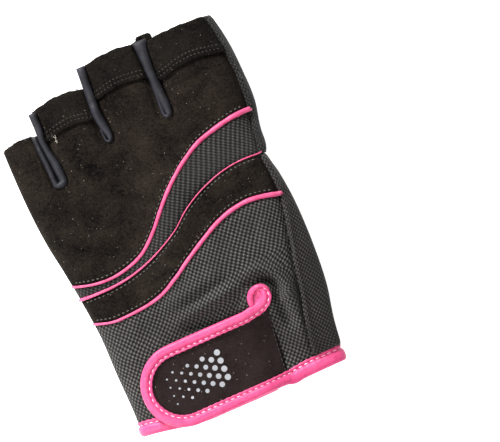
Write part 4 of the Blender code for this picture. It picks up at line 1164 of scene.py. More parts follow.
def thumb_tube():
    half_way = np.cos(np.linspace(math.pi, 0, TUBE_HALF))
    b = np.concatenate([half_way, half_way[::-1][1:]])
    face = np.concatenate([-np.ones(TUBE_HALF), np.ones(TUBE_HALF - 1)])
    a = 1 - (1 - np.linspace(0, 1, 50)) ** 1.8
    grid_b, grid_a = np.meshgrid(b, a)
    grid_face = np.broadcast_to(face, grid_b.shape)
    points = thumb_place(grid_a, grid_b, grid_face)
    middle = np.array([0, 0, THUMB_DEPTH / 2])
    centre = points[:, :TUBE_HALF].mean(1, keepdims=True) * [1, 1, 0] + middle
    along_way, across_way = np.gradient(points, axis=0), np.gradient(points, axis=1)
    across_way[:, 0] = across_way[:, -1] = points[:, 1] - points[:, -2]
    normals = unit(np.cross(across_way, along_way))
    flip = np.sign(((points - centre) * normals).sum(-1, keepdims=True))
    normals = normals * np.where(flip == 0, 1, flip)
    normals[-1] = unit(normals[-2] * [1, 1, 0] + np.array([0.4, 0, 0]))
    mid_a, mid_b = (grid_a[1:, 1:] + grid_a[:-1, :-1]) / 2, (grid_b[1:, 1:] + grid_b[:-1, :-1]) / 2
    hole = (mid_a > HOLE_ALONG[0]) & (mid_a < HOLE_ALONG[1]) & (np.abs(mid_b) < HOLE_ACROSS)
    cells = ~(hole & (np.arange(len(b) - 1) >= TUBE_HALF - 1)[None, :])
    piece = cloth("thumb_knit", points, normals, THUMB_WALL, MESH_SIDE, cells)
    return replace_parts(piece, "thumb_tube")


thumb = thumb_tube()
print("thumb", len(thumb.data.polygons), "faces")

# %% [markdown]
# Palm side: a padded patch, and the gathered knit at the wrist. The patch's filling swells it a little,
# which is a bump with a flat top; the gathers are in the surface already, so that cloth is plain.

# %% Palm pad and wrist
PAD_U, PAD_UP = (0.49, 0.90), (0.528, 0.640)
PAD_CROWN, PAD_OFF = 0.2 * MM, 0.1 * MM


def palm_pad():
    s, t = np.meshgrid(np.linspace(0, 1, 40), np.linspace(0, 1, 22))
    y = length_at(PAD_UP[0] + (PAD_UP[1] - PAD_UP[0]) * t)
    points, normals = hand(PAD_U[0] + (PAD_U[1] - PAD_U[0]) * s, y, -1)
    crown = PAD_CROWN * (1 - (2 * s - 1) ** 4) * (1 - (2 * t - 1) ** 4)
    points = points + normals * crown[..., None]
    piece = cloth("palm_padding", points, normals, PAD, SUEDE_PALM, raised=PAD + PAD_OFF)
    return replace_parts(piece, "palm_pad")


def palm_wrist():
    def low_line(u):
        return cloth_end(u, -1)

    def high_line(u):
        return length_at(WRIST_SEAM) - SEAM / 2 + 0 * u

    points, normals = band(low_line, high_line, under_seam, rolled(9, 0.08, 84), 34, -1)
    piece = cloth("gathered_wrist_knit", points, normals, MESH, MESH_BACK)
    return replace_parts(piece, "palm_wrist")


print("pad and gathered wrist", [len(piece.data.polygons) for piece in (palm_pad(), palm_wrist())], "faces")

# %% [markdown]
# A piping is a cord wrapped in satin and caught in the seam. It is a tube along the seam's line, half
# sunk in the cloth. It is thicker where the seam was sewn loosely, and ends blunt, under the side
# panel's edge. A bevelled curve would be as round; rings of our own also carry the satin's UV map.

# %% Tubes and pipings
CORD_RADII = {"upper": (0.48, 0.8, 1.05), "middle": (0.66, 0.20, 0.30), "lower": (0.48, 0.82, 1.0)}  # mm
CORD_SUNK = 0.1 * MM
CORD_DIVE = 0.8  # share of the side seam's pull that the cord's end doesn't follow


def tube_faces(stations, sides, start=0):
    faces = []
    for k in range(stations - 1):
        for s in range(sides):
            t = (s + 1) % sides
            a, b = start + k * sides, start + (k + 1) * sides
            faces.append([a + s, a + t, b + t, b + s])
    faces.append([start + s for s in reversed(range(sides))])
    faces.append([start + (stations - 1) * sides + s for s in range(sides)])
    return faces


def circle(beside, up, sides):
    """Unit vectors all round, in the plane of two directions, and their angles."""
    angle = 2 * math.pi * np.arange(sides) / sides
    return beside[..., None, :] * np.cos(angle)[:, None] + up[..., None, :] * np.sin(angle)[:, None], angle


def tube(name, centres, normals, radii, material, sides=12):
    along = unit(np.gradient(centres, axis=0))
    beside = unit(np.cross(normals, along))
    ring, angle = circle(beside, np.cross(along, beside), sides)
    points = centres[:, None] + ring * radii[:, None, None]
    uv = np.stack(np.broadcast_arrays(run_along(centres)[:, None] / MM, angle[None, :]), -1)
    faces = tube_faces(len(centres), sides)
    piece = make_mesh(name, points.reshape(-1, 3), faces, material, uv.reshape(-1, 2))
    make_outward(piece)
    return piece


def make_outward(piece):
    """Turns the faces outwards if the closed mesh encloses a negative volume."""
    mesh = piece.data
    mesh.calc_loop_triangles()
    place = np.empty(len(mesh.vertices) * 3)
    mesh.vertices.foreach_get("co", place)
    corner = np.empty(len(mesh.loop_triangles) * 3, int)
    mesh.loop_triangles.foreach_get("vertices", corner)
    corners = place.reshape(-1, 3)[corner.reshape(-1, 3)]
    if np.einsum("ij,ij->i", corners[:, 0], np.cross(corners[:, 1], corners[:, 2])).sum() < 0:
        mesh.flip_normals()


def piping_last(name):
    """Share across at which a piping meets the side seam."""
    return float(side_seam(piping_line(name, 0.97)))


def piping(name):
    last = piping_last(name)
    u = np.linspace(0.0, last + 0.0005, 260)
    points, normals = hand(u, piping_line(name, u))
    radii = np.interp(u, [0, 0.5, 1], CORD_RADII[name]) * MM
    radii = radii * (1 + 0.04 * np.sin(u * 70) + 0.03 * np.sin(u * 171))
    pulled = SEAM_PULL + SIDE_PULL * bell((last - u) * HAND_WIDTH, SIDE_PULL_HALF) * CORD_DIVE
    rise = np.sqrt(1 - (1 - np.clip(u * HAND_WIDTH / BACK_ROLL, 0, 1)) ** 2)  # no pull on the fold itself
    centres = points + normals * (pulled * rise - CORD_SUNK)[:, None]
    piece = tube(f"piping_cord_{name}", centres, normals, radii, CORD_COVER)
    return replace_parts(piece, f"piping_{name}")


pipings = [piping(name) for name in PIPING_RADIUS]
print("pipings", [len(piece.data.polygons) for piece in pipings], "faces")

# %% [markdown]
# Each strip between two fingers is folded double along its length, so from above it looks like a soft
# roll with a small eye at the crotch, where it turns back under itself. Below the roll a thin wall
# goes down between the fingers to the palm. At each place along it one ring of points runs over the
# roll and round the wall, and the rings are joined, so roll and wall are one closed piece of cloth.

# %% Strips between the fingers
ROLL_PROUD, ROLL_HALF_HEIGHT, WALL_HALF, WALL_REACH = 1.5 * MM, 1.45 * MM, 0.6 * MM, 0.35 * MM
LOOP_UP, LEG_STATIONS, LOOP_STATIONS = 2.2 * MM, 34, 21
END_DROP, END_STATIONS = 1.3 * MM, 14  # the lower leg's end comes up from below the roll
SHOULDERS = ((-0.35, 0.75), (-0.8, 0.3))  # rings under the roll: height, and share of the roll's width


def strip_stations(k):
    """Rows of x, y, outward x, outward y, half width, drop, and which side of the gap."""
    gap, look = GAPS[k], STRIPS[k]
    crotch_y = float(length_at(gap["crotch"]))

    def leg(rows, sign, drop):
        rows = np.array(rows) * MM
        y = crotch_y + np.linspace(rows[0, 0], rows[-1, 0], LEG_STATIONS)
        rows = rows[rows[:, 0].argsort()]
        middle, half = (np.interp(y - crotch_y, rows[:, 0], rows[:, c]) for c in (1, 2))
        middle, half = (np.convolve(np.pad(v, 2, "edge"), np.ones(5) / 5, "valid") for v in (middle, half))
        x = across(gap["across"], y) + middle
        ones = np.ones_like(y)
        return np.stack([x, y, sign * ones, 0 * ones, half, drop * ones, sign * ones], -1)

    under, roll = leg(look["under"], -1, look["under_drop"] * MM), leg(look["roll"], 1, 0.0)
    under[:, 5] += END_DROP * (1 - smooth(np.arange(len(under)) / END_STATIONS))
    start, end = under[-1], roll[-1]
    middle, radius = (start[0] + end[0]) / 2, (end[0] - start[0]) / 2
    loop = []
    for angle in np.linspace(math.pi, 2 * math.pi, LOOP_STATIONS)[1:-1]:
        share = (1 - math.cos(angle - math.pi)) / 2
        row = start + (end - start) * share
        reach = LOOP_UP - row[4] * 0.8
        row[0], row[1] = middle + radius * math.cos(angle), crotch_y + LOOP_UP + reach * math.sin(angle)
        row[2], row[3], row[6] = math.cos(angle), math.sin(angle), 0
        loop.append(row)
    return np.concatenate([under, np.array(loop), roll[::-1]])


def strip_between(k):
    rows = strip_stations(k)
    x, y, half, drop = rows[:, 0], rows[:, 1], rows[:, 4], rows[:, 5]
    out = np.stack([rows[:, 2], rows[:, 3], 0 * x], -1)
    gap_x = across(GAPS[k]["across"], y)
    wall_x = np.clip(x, gap_x - WALL_REACH, gap_x + WALL_REACH)
    wall_y = np.where(rows[:, 6] == 0, np.maximum(y, float(length_at(GAPS[k]["crotch"])) + 0.1 * MM), y)
    fade = np.minimum(np.arange(len(x)), np.arange(len(x))[::-1])
    swell = 1 + 0.05 * np.sin(y / (2.7 * MM)) + 0.03 * np.sin(y / (1.3 * MM))
    height = ROLL_HALF_HEIGHT * np.interp(fade, [0, 1, 3], [0.5, 0.85, 1]) * swell
    hem = hem_low_edge(k + 1, 0.02) if k == 0 else min(hem_low_edge(k, 0.98), hem_low_edge(k + 1, 0.02))
    on_hem = (HEM + 0.2 * MM) * smooth((y - hem + 5 * MM) / (9 * MM))  # it climbs onto the hem
    top = hand_level(gap_x, y, 1, 1.0) + ROLL_PROUD - ROLL_HALF_HEIGHT - drop + on_hem
    top = top + strip_pull(gap_x, y)
    bottom = hand_level(gap_x, y, -1, 1.0) + 0.15 * MM
    centre, wall = np.stack([x, y, top], -1), np.stack([wall_x, wall_y, top], -1)

    def shoulder(sign, rise, share):
        middle = centre * share + wall * (1 - share)
        ring = middle + sign * out * (half * share + WALL_HALF * (1 - share))[:, None]
        ring[:, 2] = top + height * rise
        return ring

    def wall_ring(sign, share):
        ring = wall + out * sign * WALL_HALF
        ring[:, 2] = top + (bottom - top) * share
        return ring

    rings = []
    for angle in np.linspace(0, math.pi, 13):
        ring = centre + out * (half * math.cos(angle))[:, None]
        ring[:, 2] += height * math.sin(angle)
        rings.append(ring)
    rings += [shoulder(-1, *level) for level in SHOULDERS]
    rings += [wall_ring(sign, share) for sign, share in ((-1, 0.4), (-1, 1.0), (1, 1.0), (1, 0.4))]
    rings += [shoulder(1, *level) for level in SHOULDERS[::-1]]
    points = np.stack(rings, 1)
    name = f"{FINGERS[k]['name']}_{FINGERS[k + 1]['name']}"
    piece = make_mesh(f"strip_{name}", points.reshape(-1, 3), tube_faces(len(rows), points.shape[1]), STRETCH)
    make_outward(piece)
    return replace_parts(piece, f"fourchette_{name}")


strips = [strip_between(k) for k in range(3)]
print("strips", [len(piece.data.polygons) for piece in strips], "faces")

# %% [markdown]
# The wide strip's end is folded back under the fingers' edges, and a dark corner of it looks out. Only
# that corner shows, so it is one small cloth on the fingers' surface.

# %% Folded end of a strip
FOLDED_END = {"from": 13.4, "to": 21.8, "proud": (0.2, 1.4, 1.8, 1.9, 1.8, 1.0)}  # mm


def folded_end():
    s, t = np.meshgrid(np.linspace(0, 1, 22), np.linspace(0, 1, 9))
    x = (FOLDED_END["from"] + (FOLDED_END["to"] - FOLDED_END["from"]) * s) * MM
    end = float(finger_end(2, 0.95))
    tip = end + np.interp(s, np.linspace(0, 1, 6), FOLDED_END["proud"]) * MM
    y = end - 4 * MM + (tip - end + 4 * MM) * t
    points, normals = hand(share_across(x, y), y)
    points = points + normals * (0.25 * MM * np.sin(x / (1.1 * MM)))[..., None]
    piece = cloth("strip_folded_end", points, normals, 0.9 * MM, SUEDE_HEM, raised=-1.5 * MM)
    return piece


folded_end()
print("folded end", FOLDED_END["to"] - FOLDED_END["from"], "mm wide")

# %% [markdown]
# A binding is a satin tape folded over the cloth's raw edge and stitched through near its inner
# side. The stitches pull it in, so in section it has a thin lip, a groove with the stitches, and a
# plump outer roll. At each stitch the groove is deeper and the lip is pinched, which gives a row of
# small scallops. A bevelled curve keeps one section all along, so the section is swept in code.

# %% Tape sections
TAPE_TOP = table(
    "place height",
    (-1.00, 0.10),
    (-0.96, 0.46),
    (-0.86, 0.64),
    (-0.74, 0.58),
    (-0.63, 0.34),
    (-0.54, 0.20),
    (-0.45, 0.36),
    (-0.34, 0.70),
    (-0.18, 0.90),
    (0.05, 1.00),
    (0.30, 1.00),
    (0.55, 0.92),
    (0.76, 0.74),
    (0.90, 0.48),
    (0.98, 0.18),
)
GROOVE, GROOVE_HALF = -0.54, 0.2  # shares of the half width
STITCH_PITCH = 2.6 * MM
TAPE_STEP = 0.42 * MM


def bound_edge(name, centres, inward, up, half_width, half_depth, nodes):
    """A folded tape along a route; inward points to its stitched side."""
    run = run_along(centres)
    pull = np.cos(2 * math.pi * run / STITCH_PITCH)
    slow = 0.05 * np.sin(run / (7.1 * MM)) + 0.04 * np.sin(run / (3.3 * MM) + 1)
    places = [row["place"] for row in TAPE_TOP]
    rings = []
    for row in TAPE_TOP:
        near = bell(row["place"] - GROOVE, GROOVE_HALF)
        lip = max(0.0, (GROOVE - row["place"]) / (1 + GROOVE))
        height = half_depth * (row["height"] + 0.16 * pull * near + slow * (1 - near) * row["height"])
        side = half_width * (row["place"] - 0.05 * lip * pull) * (1 + 0.02 * np.sin(run / (5.3 * MM)))
        rings.append(centres - inward * side[:, None] + up * height[:, None])
    for row in TAPE_TOP[::-1]:
        height = -half_depth * max(row["height"], 0.3)
        rings.append(centres - inward * (half_width * row["place"] * 0.985)[:, None] + up * height[:, None])
    points = np.stack(rings, 1)
    u = np.broadcast_to((run / MM)[:, None], points.shape[:2])
    v = np.array(places + places[::-1])[None, :] * half_width[:, None] / MM
    faces = tube_faces(len(centres), points.shape[1])
    piece = make_mesh(name, points.reshape(-1, 3), faces, TAPE, np.stack([u, v], -1).reshape(-1, 2))
    make_outward(piece)
    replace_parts(piece, *nodes)
    return piece


print("stitch every", STITCH_PITCH / MM, "mm")

# %% [markdown]
# The closing strap is a brushed nylon tab sewn to the right of the slit. It crosses the slit, lies on
# the wrist and closes with hook tape. It is stiff, so it doesn't follow the short folds under it: it
# rides on the mean height of the back round each place.

# %% Strap
STRAP, STRAP_HALF, STRAP_LOW, STRAP_REACH = 1.35 * MM, 17.4 * MM, 0.5 * MM, 0.231
STRAP_TAPE, STRAP_TAPE_DEPTH, STRAP_RISE = 4.2 * MM, 2.8 * MM, 1.8 * MM
STRAP_SEAM, UNDER_TAPE = 0.2 * MM, 0.9 * MM  # its seam right of the slit, and its cloth inside the tape
STRAP_MIDDLE = float(length_at(0)) + STRAP_LOW + STRAP_HALF
STRAP_TURN = -STRAP_REACH * HAND_WIDTH


def back_level(x, y):
    return hand_place(share_across(x, y), y, 1)[..., 2]


def calm_level(x, y):
    """The back under the strap without its short folds."""
    offsets = [(-4, 0), (4, 0), (0, -4), (0, 4), (0, 0), (-8, 0), (8, 0)]
    return sum(back_level(x + dx * MM, y + dy * MM) for dx, dy in offsets) / len(offsets)


def strap_level(x, y):
    u = (x - little_edge(y)) / width(y)
    over = smooth((VENT_RIGHT - u) / (VENT_RIGHT - VENT_LEFT + 0.045))
    return calm_level(x, y) + STRAP_RISE * over + (CLEAR - STRAP) * (1 - over)


def strap_right(y):
    return across(VENT_RIGHT, y) + STRAP_SEAM


def strap_top(x, y):
    """The strap's upper face, a little lumpy from the hook tape under it."""
    lump = 0.18 * MM * np.sin(x / (5.1 * MM) + y / (8 * MM)) + 0.12 * MM * np.sin(y / (3.7 * MM))
    return strap_level(x, y) + STRAP + lump


def strap_grid():
    half = STRAP_HALF - STRAP_TAPE + UNDER_TAPE
    s = np.linspace(-1, 1, 29)
    straight = [(share, None) for share in np.linspace(1, 0, 46)]
    bends = [(None, angle) for angle in np.linspace(0, 84, 24)[1:]]
    rows = []
    for share, angle in straight + bends:
        if angle is None:
            y = STRAP_MIDDLE + half * s
            x = STRAP_TURN + (strap_right(y) - STRAP_TURN) * share
        else:
            turn = math.radians(angle)
            y = STRAP_MIDDLE + half * math.cos(turn) * s
            x = STRAP_TURN - half * math.sin(turn) + 0 * s
        rows.append(np.stack([x, y, strap_top(x, y)], -1))
    points = np.array(rows)
    along, side_way = np.gradient(points, axis=0), np.gradient(points, axis=1)
    normals = unit(np.cross(side_way, along))
    return points, normals * np.sign(normals[..., 2:3])


points, normals = strap_grid()
strap = cloth("strap_tab", points, normals, STRAP, BRUSHED)
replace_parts(strap, "strap")
print("strap", round((float(strap_right(STRAP_MIDDLE)) - STRAP_TURN + STRAP_HALF) / MM), "mm long")

# %% [markdown]
# One long tape binds everything: from the slit it goes left round the cuff, over the palm side and
# back, then along the strap's lower edge, round its tip, back along the upper edge, and curls round
# the end of the slit, where it stands up on its edge and dives under the strap. Its route is a list of
# places with the cloth's outward direction, the tape's half width and its twist.

# %% Route of the tape
TAPE_PROUD, TAPE_PROUD_UNDER = 0.9 * MM, 0.4 * MM  # off the cloth: on the back, and under the glove
EDGE_HALF = 2.55 * MM
SMOOTH_ALL, SMOOTH_REST = 8, 32  # rounds of smoothing: with the plan, and then only heights and the rest
CURL = table(
    "x y z twist half",
    (13.0, -43.7, 0.0, 0, 2.55),
    (16.5, -43.3, 0.1, 0, 2.55),
    (19.4, -42.2, 0.3, 4, 2.5),
    (21.7, -40.3, 0.5, 12, 2.3),
    (22.4, -37.9, 0.6, 26, 2.1),
    (21.4, -35.8, 0.7, 44, 1.9),
    (19.2, -35.0, 0.7, 64, 1.7),
    (16.6, -36.2, 0.4, 76, 1.5),
    (15.3, -38.4, 0.1, 82, 1.4),
    (15.1, -40.7, -0.6, 80, 1.4),
    (15.6, -42.8, -1.2, 60, 1.8),
)


def cuff_part():
    left = np.concatenate([np.linspace(VENT_LEFT, 0.12, 60), fold_steps(0.12)[::-1][1:]])
    straight = np.linspace(0.08, 0.9, 90)[1:-1]
    palm = np.concatenate([fold_steps(0.08)[1:], straight, 1 - fold_steps(0.10)[::-1]])
    right = np.concatenate([1 - fold_steps(0.10)[1:], np.linspace(0.9, VENT_RIGHT + 0.004, 18)[1:]])
    u = np.concatenate([left, palm, right])
    side = np.concatenate([np.ones(len(left)), -np.ones(len(palm)), np.ones(len(right))])
    half = np.where(side > 0, cuff_half(u, 1), cuff_half(u, -1))
    bulge = 0.5 * MM * bell(u - VENT_RIGHT - 0.02, 0.02) * (side > 0)  # where two tapes meet at the slit
    y = cuff_line(u) + half - bulge * 0.6
    (top, top_normals), (low, low_normals) = hand(u, y, 1), hand(u, y, -1)
    pick = (side > 0)[:, None]
    points, normals = np.where(pick, top, low), np.where(pick, top_normals, low_normals)
    normals = unit(normals * [1, 0, 1])
    depth = MESH / 2 + np.where(side > 0, TAPE_PROUD, TAPE_PROUD_UNDER)
    return np.column_stack([points - normals * MESH / 2, normals, half + bulge, depth, np.zeros(len(u))])


def strap_part():
    ring = STRAP_HALF - EDGE_HALF
    top, low = STRAP_MIDDLE + ring, STRAP_MIDDLE - ring
    right, curl_start = float(strap_right(low)), (CURL[0]["x"] - 2) * MM
    plan = [(right + (STRAP_TURN - right) * s, low) for s in np.linspace(0.02, 1, 70)]
    for a in np.radians(np.linspace(270, 90, 80)[1:]):
        plan.append((STRAP_TURN + ring * math.cos(a), STRAP_MIDDLE + ring * math.sin(a)))
    plan += [(STRAP_TURN + (curl_start - STRAP_TURN) * s, top) for s in np.linspace(0, 1, 60)[1:]]
    count = len(plan)
    plan += [(row["x"] * MM, row["y"] * MM) for row in CURL]
    x, y = np.array(plan).T
    extra, twist, half = np.zeros(len(x)), np.zeros(len(x)), np.full(len(x), EDGE_HALF)
    extra[count:], half[count:] = [row["z"] * MM for row in CURL], [row["half"] * MM for row in CURL]
    twist[count:] = [row["twist"] for row in CURL]
    level = strap_level(x, y)
    ground = calm_level(x, y) + 0.2 * MM  # past its second place the curl stays above the back
    level[count + 2 :] = np.maximum(level, ground)[count + 2 :]
    points = np.stack([x, y, level + extra + STRAP_TAPE_DEPTH / 2], -1)
    step = 0.6 * MM
    slope_x = (strap_level(x + step, y) - strap_level(x - step, y)) / (2 * step)
    slope_y = (strap_level(x, y + step) - strap_level(x, y - step)) / (2 * step)
    normals = unit(np.stack([-slope_x, -slope_y, 1 + 0 * x], -1))
    return np.column_stack([points, normals, half, np.full(len(x), STRAP_TAPE_DEPTH / 2), twist])


def resample(at, run, rows):
    """Rows of a table read at other distances along it."""
    return np.stack([np.interp(at, run, column) for column in rows.T], -1)


def whole_route():
    """Evenly spaced and smoothed: centres, inward and up directions, half width, half depth, twist."""
    rows = np.concatenate([cuff_part(), strap_part()])
    run = run_along(rows[:, :3])
    apart = np.concatenate([[True], np.diff(run) > 1e-6])
    rows, run = rows[apart], run[apart]
    rows = resample(np.arange(0, run[-1], TAPE_STEP), run, rows)
    for k in range(SMOOTH_ALL + SMOOTH_REST):
        smoothed = rows.copy()
        smoothed[1:-1] = (rows[:-2] + rows[2:]) / 4 + rows[1:-1] / 2
        if k < SMOOTH_ALL:
            rows = smoothed
        else:
            rows[:, 2:] = smoothed[:, 2:]
    centres, up = rows[:, :3], rows[:, 3:6]
    along = unit(np.gradient(centres, axis=0))
    inward = unit(np.cross(along, up))
    up = unit(np.cross(inward, along))
    turn = np.radians(rows[:, 8])[:, None]
    inward, up = inward * np.cos(turn) + up * np.sin(turn), up * np.cos(turn) - inward * np.sin(turn)
    return centres, inward, up, rows[:, 6], rows[:, 7], rows[:, 8]


tape_centres, tape_inward, tape_up, tape_half, tape_depth, tape_twist = whole_route()
edge_tape = bound_edge(
    "edge_tape", tape_centres, tape_inward, tape_up, tape_half, tape_depth, ("cuff_binding", "strap_binding")
)
print("tape", round(len(tape_centres) * TAPE_STEP / MM), "mm long,", len(edge_tape.data.polygons), "faces")

# %% [markdown]
# Inside the curl the tape's own cloth closes the end of the slit like the floor of a small bowl. Light
# bounces between its walls, so this satin has a paler colour than the tape's.

# %% Floor of the curl
CURL_FLOOR = {"x": 18.7, "y": -39.0, "half_x": 3.9, "half_y": 4.3}  # mm


def curl_floor():
    r, a = np.meshgrid(np.linspace(0.02, 1, 10), np.linspace(0, 2 * math.pi, 40))
    x = (CURL_FLOOR["x"] + CURL_FLOOR["half_x"] * r * np.cos(a)) * MM
    y = (CURL_FLOOR["y"] + CURL_FLOOR["half_y"] * r * np.sin(a)) * MM
    z = calm_level(x, y) + (1.7 + 1.1 * r**2 + 0.2 * np.sin(3 * a + 1) * r) * MM
    points = np.stack([x, y, z], -1)
    normals = np.zeros_like(points)
    normals[..., 2] = 1
    return cloth("curl_floor", points, normals, 0.5 * MM, TAPE_INSIDE)


curl_floor()
print("curl floor", 2 * CURL_FLOOR["half_x"], "by", 2 * CURL_FLOOR["half_y"], "mm")

# %% [markdown]
# Stitches are real thread here: each one is a short round bar that dips into the cloth at both ends.
# Dashes in a texture would lie flat, and they would slide off the groove wherever the tape narrows.

# %% Stitches
THREAD, THREAD_LIFT = 0.24 * MM, 0.12 * MM
THREAD_SIDES, THREAD_STATIONS = 6, 5


def stitches(
    name, line, normals, pitch, share, material, thick=THREAD, lift=THREAD_LIFT, wanted=None
):
    """Thread bars along a line of points, joined into one mesh."""
    run = run_along(line)
    points, faces = [], []
    bow = np.sin(np.linspace(0, math.pi, THREAD_STATIONS))
    for begin in np.arange(pitch * (0.5 - share / 2), run[-1] - pitch, pitch):
        s = begin + np.linspace(0, pitch * share, THREAD_STATIONS)
        if wanted is not None and np.interp(begin, run, wanted) < 0.5:
            continue
        centre, up = resample(s, run, line), unit(resample(s, run, normals))
        along = unit(np.gradient(centre, axis=0))
        beside = unit(np.cross(up, along))
        centre = centre + up * (lift * (bow - 0.25))[:, None]
        radius = thick * (0.55 + 0.45 * bow)  # thinner where it dips into the cloth
        ring, _ = circle(beside, up, THREAD_SIDES)
        faces += tube_faces(THREAD_STATIONS, THREAD_SIDES, len(points) * THREAD_STATIONS * THREAD_SIDES)
        points.append(centre[:, None] + ring * radius[:, None, None])
    piece = make_mesh(name, np.array(points).reshape(-1, 3), faces, material)
    make_outward(piece)
    return piece


GROOVE_LEVEL = 0.34  # height of the stitches in the groove, as a share of the tape's half depth
LAST_TWIST = 36  # degrees; beyond, the curl hides its stitches
line = tape_centres - tape_inward * (GROOVE * tape_half)[:, None]
line = line + tape_up * (GROOVE_LEVEL * tape_depth)[:, None]
shown = (tape_twist < LAST_TWIST).astype(float)
tape_stitches = stitches("tape_stitches", line, tape_up, STITCH_PITCH, 0.6, THREAD_PINK, wanted=shown)
print("tape stitches", len(tape_stitches.data.polygons) // len(tube_faces(THREAD_STATIONS, THREAD_SIDES)))

# %% [markdown]
# Fine grey rows run beside the pipings, on the suede's side, and along the hems and the side strip.

# %% Fine stitch rows
PIPING_STITCH = 2.0 * MM
PIPING_ROWS = (("upper", 1, 1.3), ("middle", -1, 1.2), ("lower", 1, 1.3))
for name, way, off in PIPING_ROWS:
    u = np.linspace(0.02, piping_last(name) - 0.012, 300)
    y = piping_line(name, u) + way * (np.interp(u, [0, 0.5, 1], CORD_RADII[name]) + off) * MM
    line, normals = hand(u, y)
    stitches(f"piping_stitches_{name}", line, normals, PIPING_STITCH, 0.5, THREAD_GREY, 0.22 * MM)

for k in (1, 2, 3):
    for row, above in enumerate(HEM_ROWS):
        share = np.linspace(0.04, 0.96, 90)
        low = hem_low_edge(k, share)
        line, normals = hand(hem_columns(k, share, low + above), low + above)
        line = line + normals * (hem_rise(low + above, low, line[:, 0]) + HEM + HEM_OFF)[:, None]
        label = f"hem_stitches_{FINGERS[k]['name']}_{row + 1}"
        stitches(label, line, normals, HEM_STITCH, 0.45, THREAD_DARK, 0.2 * MM)

reach = STRAP_HALF - STRAP_TAPE - 0.6 * MM
y = np.linspace(STRAP_MIDDLE - reach, STRAP_MIDDLE + reach, 60)
x = strap_right(y) - 0.7 * MM
line, up = np.stack([x, y, strap_top(x, y)], -1), np.tile([0.0, 0.0, 1.0], (60, 1))
stitches("strap_seam_stitches", line, up, 2.2 * MM, 0.62, THREAD_DARK, 0.17 * MM)

SIDE_ROWS = (
    ("index_side_stitches", THUMB_CROTCH + 0.01, 0.97, 0.8),
    ("thumb_side_stitches", 0.10, THUMB_CROTCH - 0.01, 1.1),
)
for label, low, high, off in SIDE_ROWS:
    y = np.linspace(float(length_at(high)), float(length_at(low)), 160)
    line, normals = hand(side_seam(y) + off * MM / width(y), y)
    line = line + normals * SEAM_ROLL
    stitches(label, line, normals, 1.7 * MM, 0.45, THREAD_DARK, 0.17 * MM, 0.05 * MM)
print("fine rows", len(PIPING_ROWS) + 3 * len(HEM_ROWS) + 1 + len(SIDE_ROWS))

# %% [markdown]
# Cut edges fray: short curved hairs stand out of the suede at the finger ends and of the side strip,
# and one hem's seam ends in a small knot of pale thread. Hair particles are lost in an export, so
# each hair is a thin tube with three sides, and all hairs of one edge are one mesh.

# %% Frayed edges
CHANCE = np.random.default_rng(11)
HAIR, HAIR_SIDES, HAIR_STATIONS = 0.06 * MM, 3, 5


def fibres(name, roots, outward, longest, material, thick=HAIR):
    count = len(roots)
    length = longest * CHANCE.uniform(0.35, 1.0, count)
    sway = CHANCE.normal(0, 1, (count, 3))
    points, faces = [], []
    for k in range(count):
        t = np.linspace(-0.3, 1, HAIR_STATIONS)[:, None]
        way = unit(outward[k] + 0.35 * sway[k])
        bend = np.cross(way, unit(sway[k] + 0.01))
        centre = roots[k] + (way * t + 0.5 * bend * t**2) * length[k]
        side = unit(np.cross(way, bend + 1e-6))
        other = np.cross(way, side)
        ring, _ = circle(side, other, HAIR_SIDES)
        faces += tube_faces(HAIR_STATIONS, HAIR_SIDES, k * HAIR_STATIONS * HAIR_SIDES)
        points.append(centre[:, None] + ring[None] * (thick * (1.15 - 0.6 * t))[..., None])
    piece = make_mesh(name, np.array(points).reshape(-1, 3), faces, material)
    return piece


roots, ways = [], []
for k in range(4):
    share = CHANCE.uniform(0.02, 0.98, 90)
    y = finger_end(k, share)
    low, high = finger_bounds(k, y, back_last)
    points, normals = hand(low + (high - low) * share, y)
    roots.append(points - normals * CHANCE.uniform(0, 1.4, len(share))[:, None] * MM)
    ways.append(np.tile([0.0, 1.0, 0.1], (len(share), 1)))
fibres("suede_fuzz", np.concatenate(roots), np.concatenate(ways), 0.7 * MM, SUEDE_HEM)
y = CHANCE.uniform(float(length_at(THUMB_CROTCH)) + 1 * MM, float(finger_end(3, 1.0)), 150)
points, normals = hand(side_seam(y) + 0.8 * MM / width(y), y)
fibres("strip_fuzz", points + normals * SEAM_ROLL, normals, 0.8 * MM, THREAD_GREY)
KNOT, KNOT_HAIRS = np.array([-30.6, 52.9]) * MM, 20
scatter = CHANCE.normal(0, 0.6, (KNOT_HAIRS, 2)) * [0.35, 1.1] * MM + KNOT
points, normals = hand(share_across(scatter[:, 0], scatter[:, 1]), scatter[:, 1])
fibres("hem_knot", points + normals * (HEM + 0.3 * MM), normals, 0.9 * MM, THREAD_PALE, 0.10 * MM)
print("frayed edges made")

# %% [markdown]
# Round dots of reflective film, larger from the tip of the strap to its seam, stand in slanted rows.
# The film is pressed on hot and stands a tenth of a millimetre proud, so each dot is a thin disc
# that follows the strap's lumps.

# %% Reflective dots
DOT_STEP, DOT_COLUMNS, DOT_ROWS = 3.3 * MM, 8, 4
DOT_SIDES = 24
FIRST_DOT = {"x": -29 * MM, "radius": 0.35 * MM}
DOT_GROWTH = 0.13 * MM  # radius gained with each column
FILM_PROUD, FILM_THICK = 0.09 * MM, 0.15 * MM


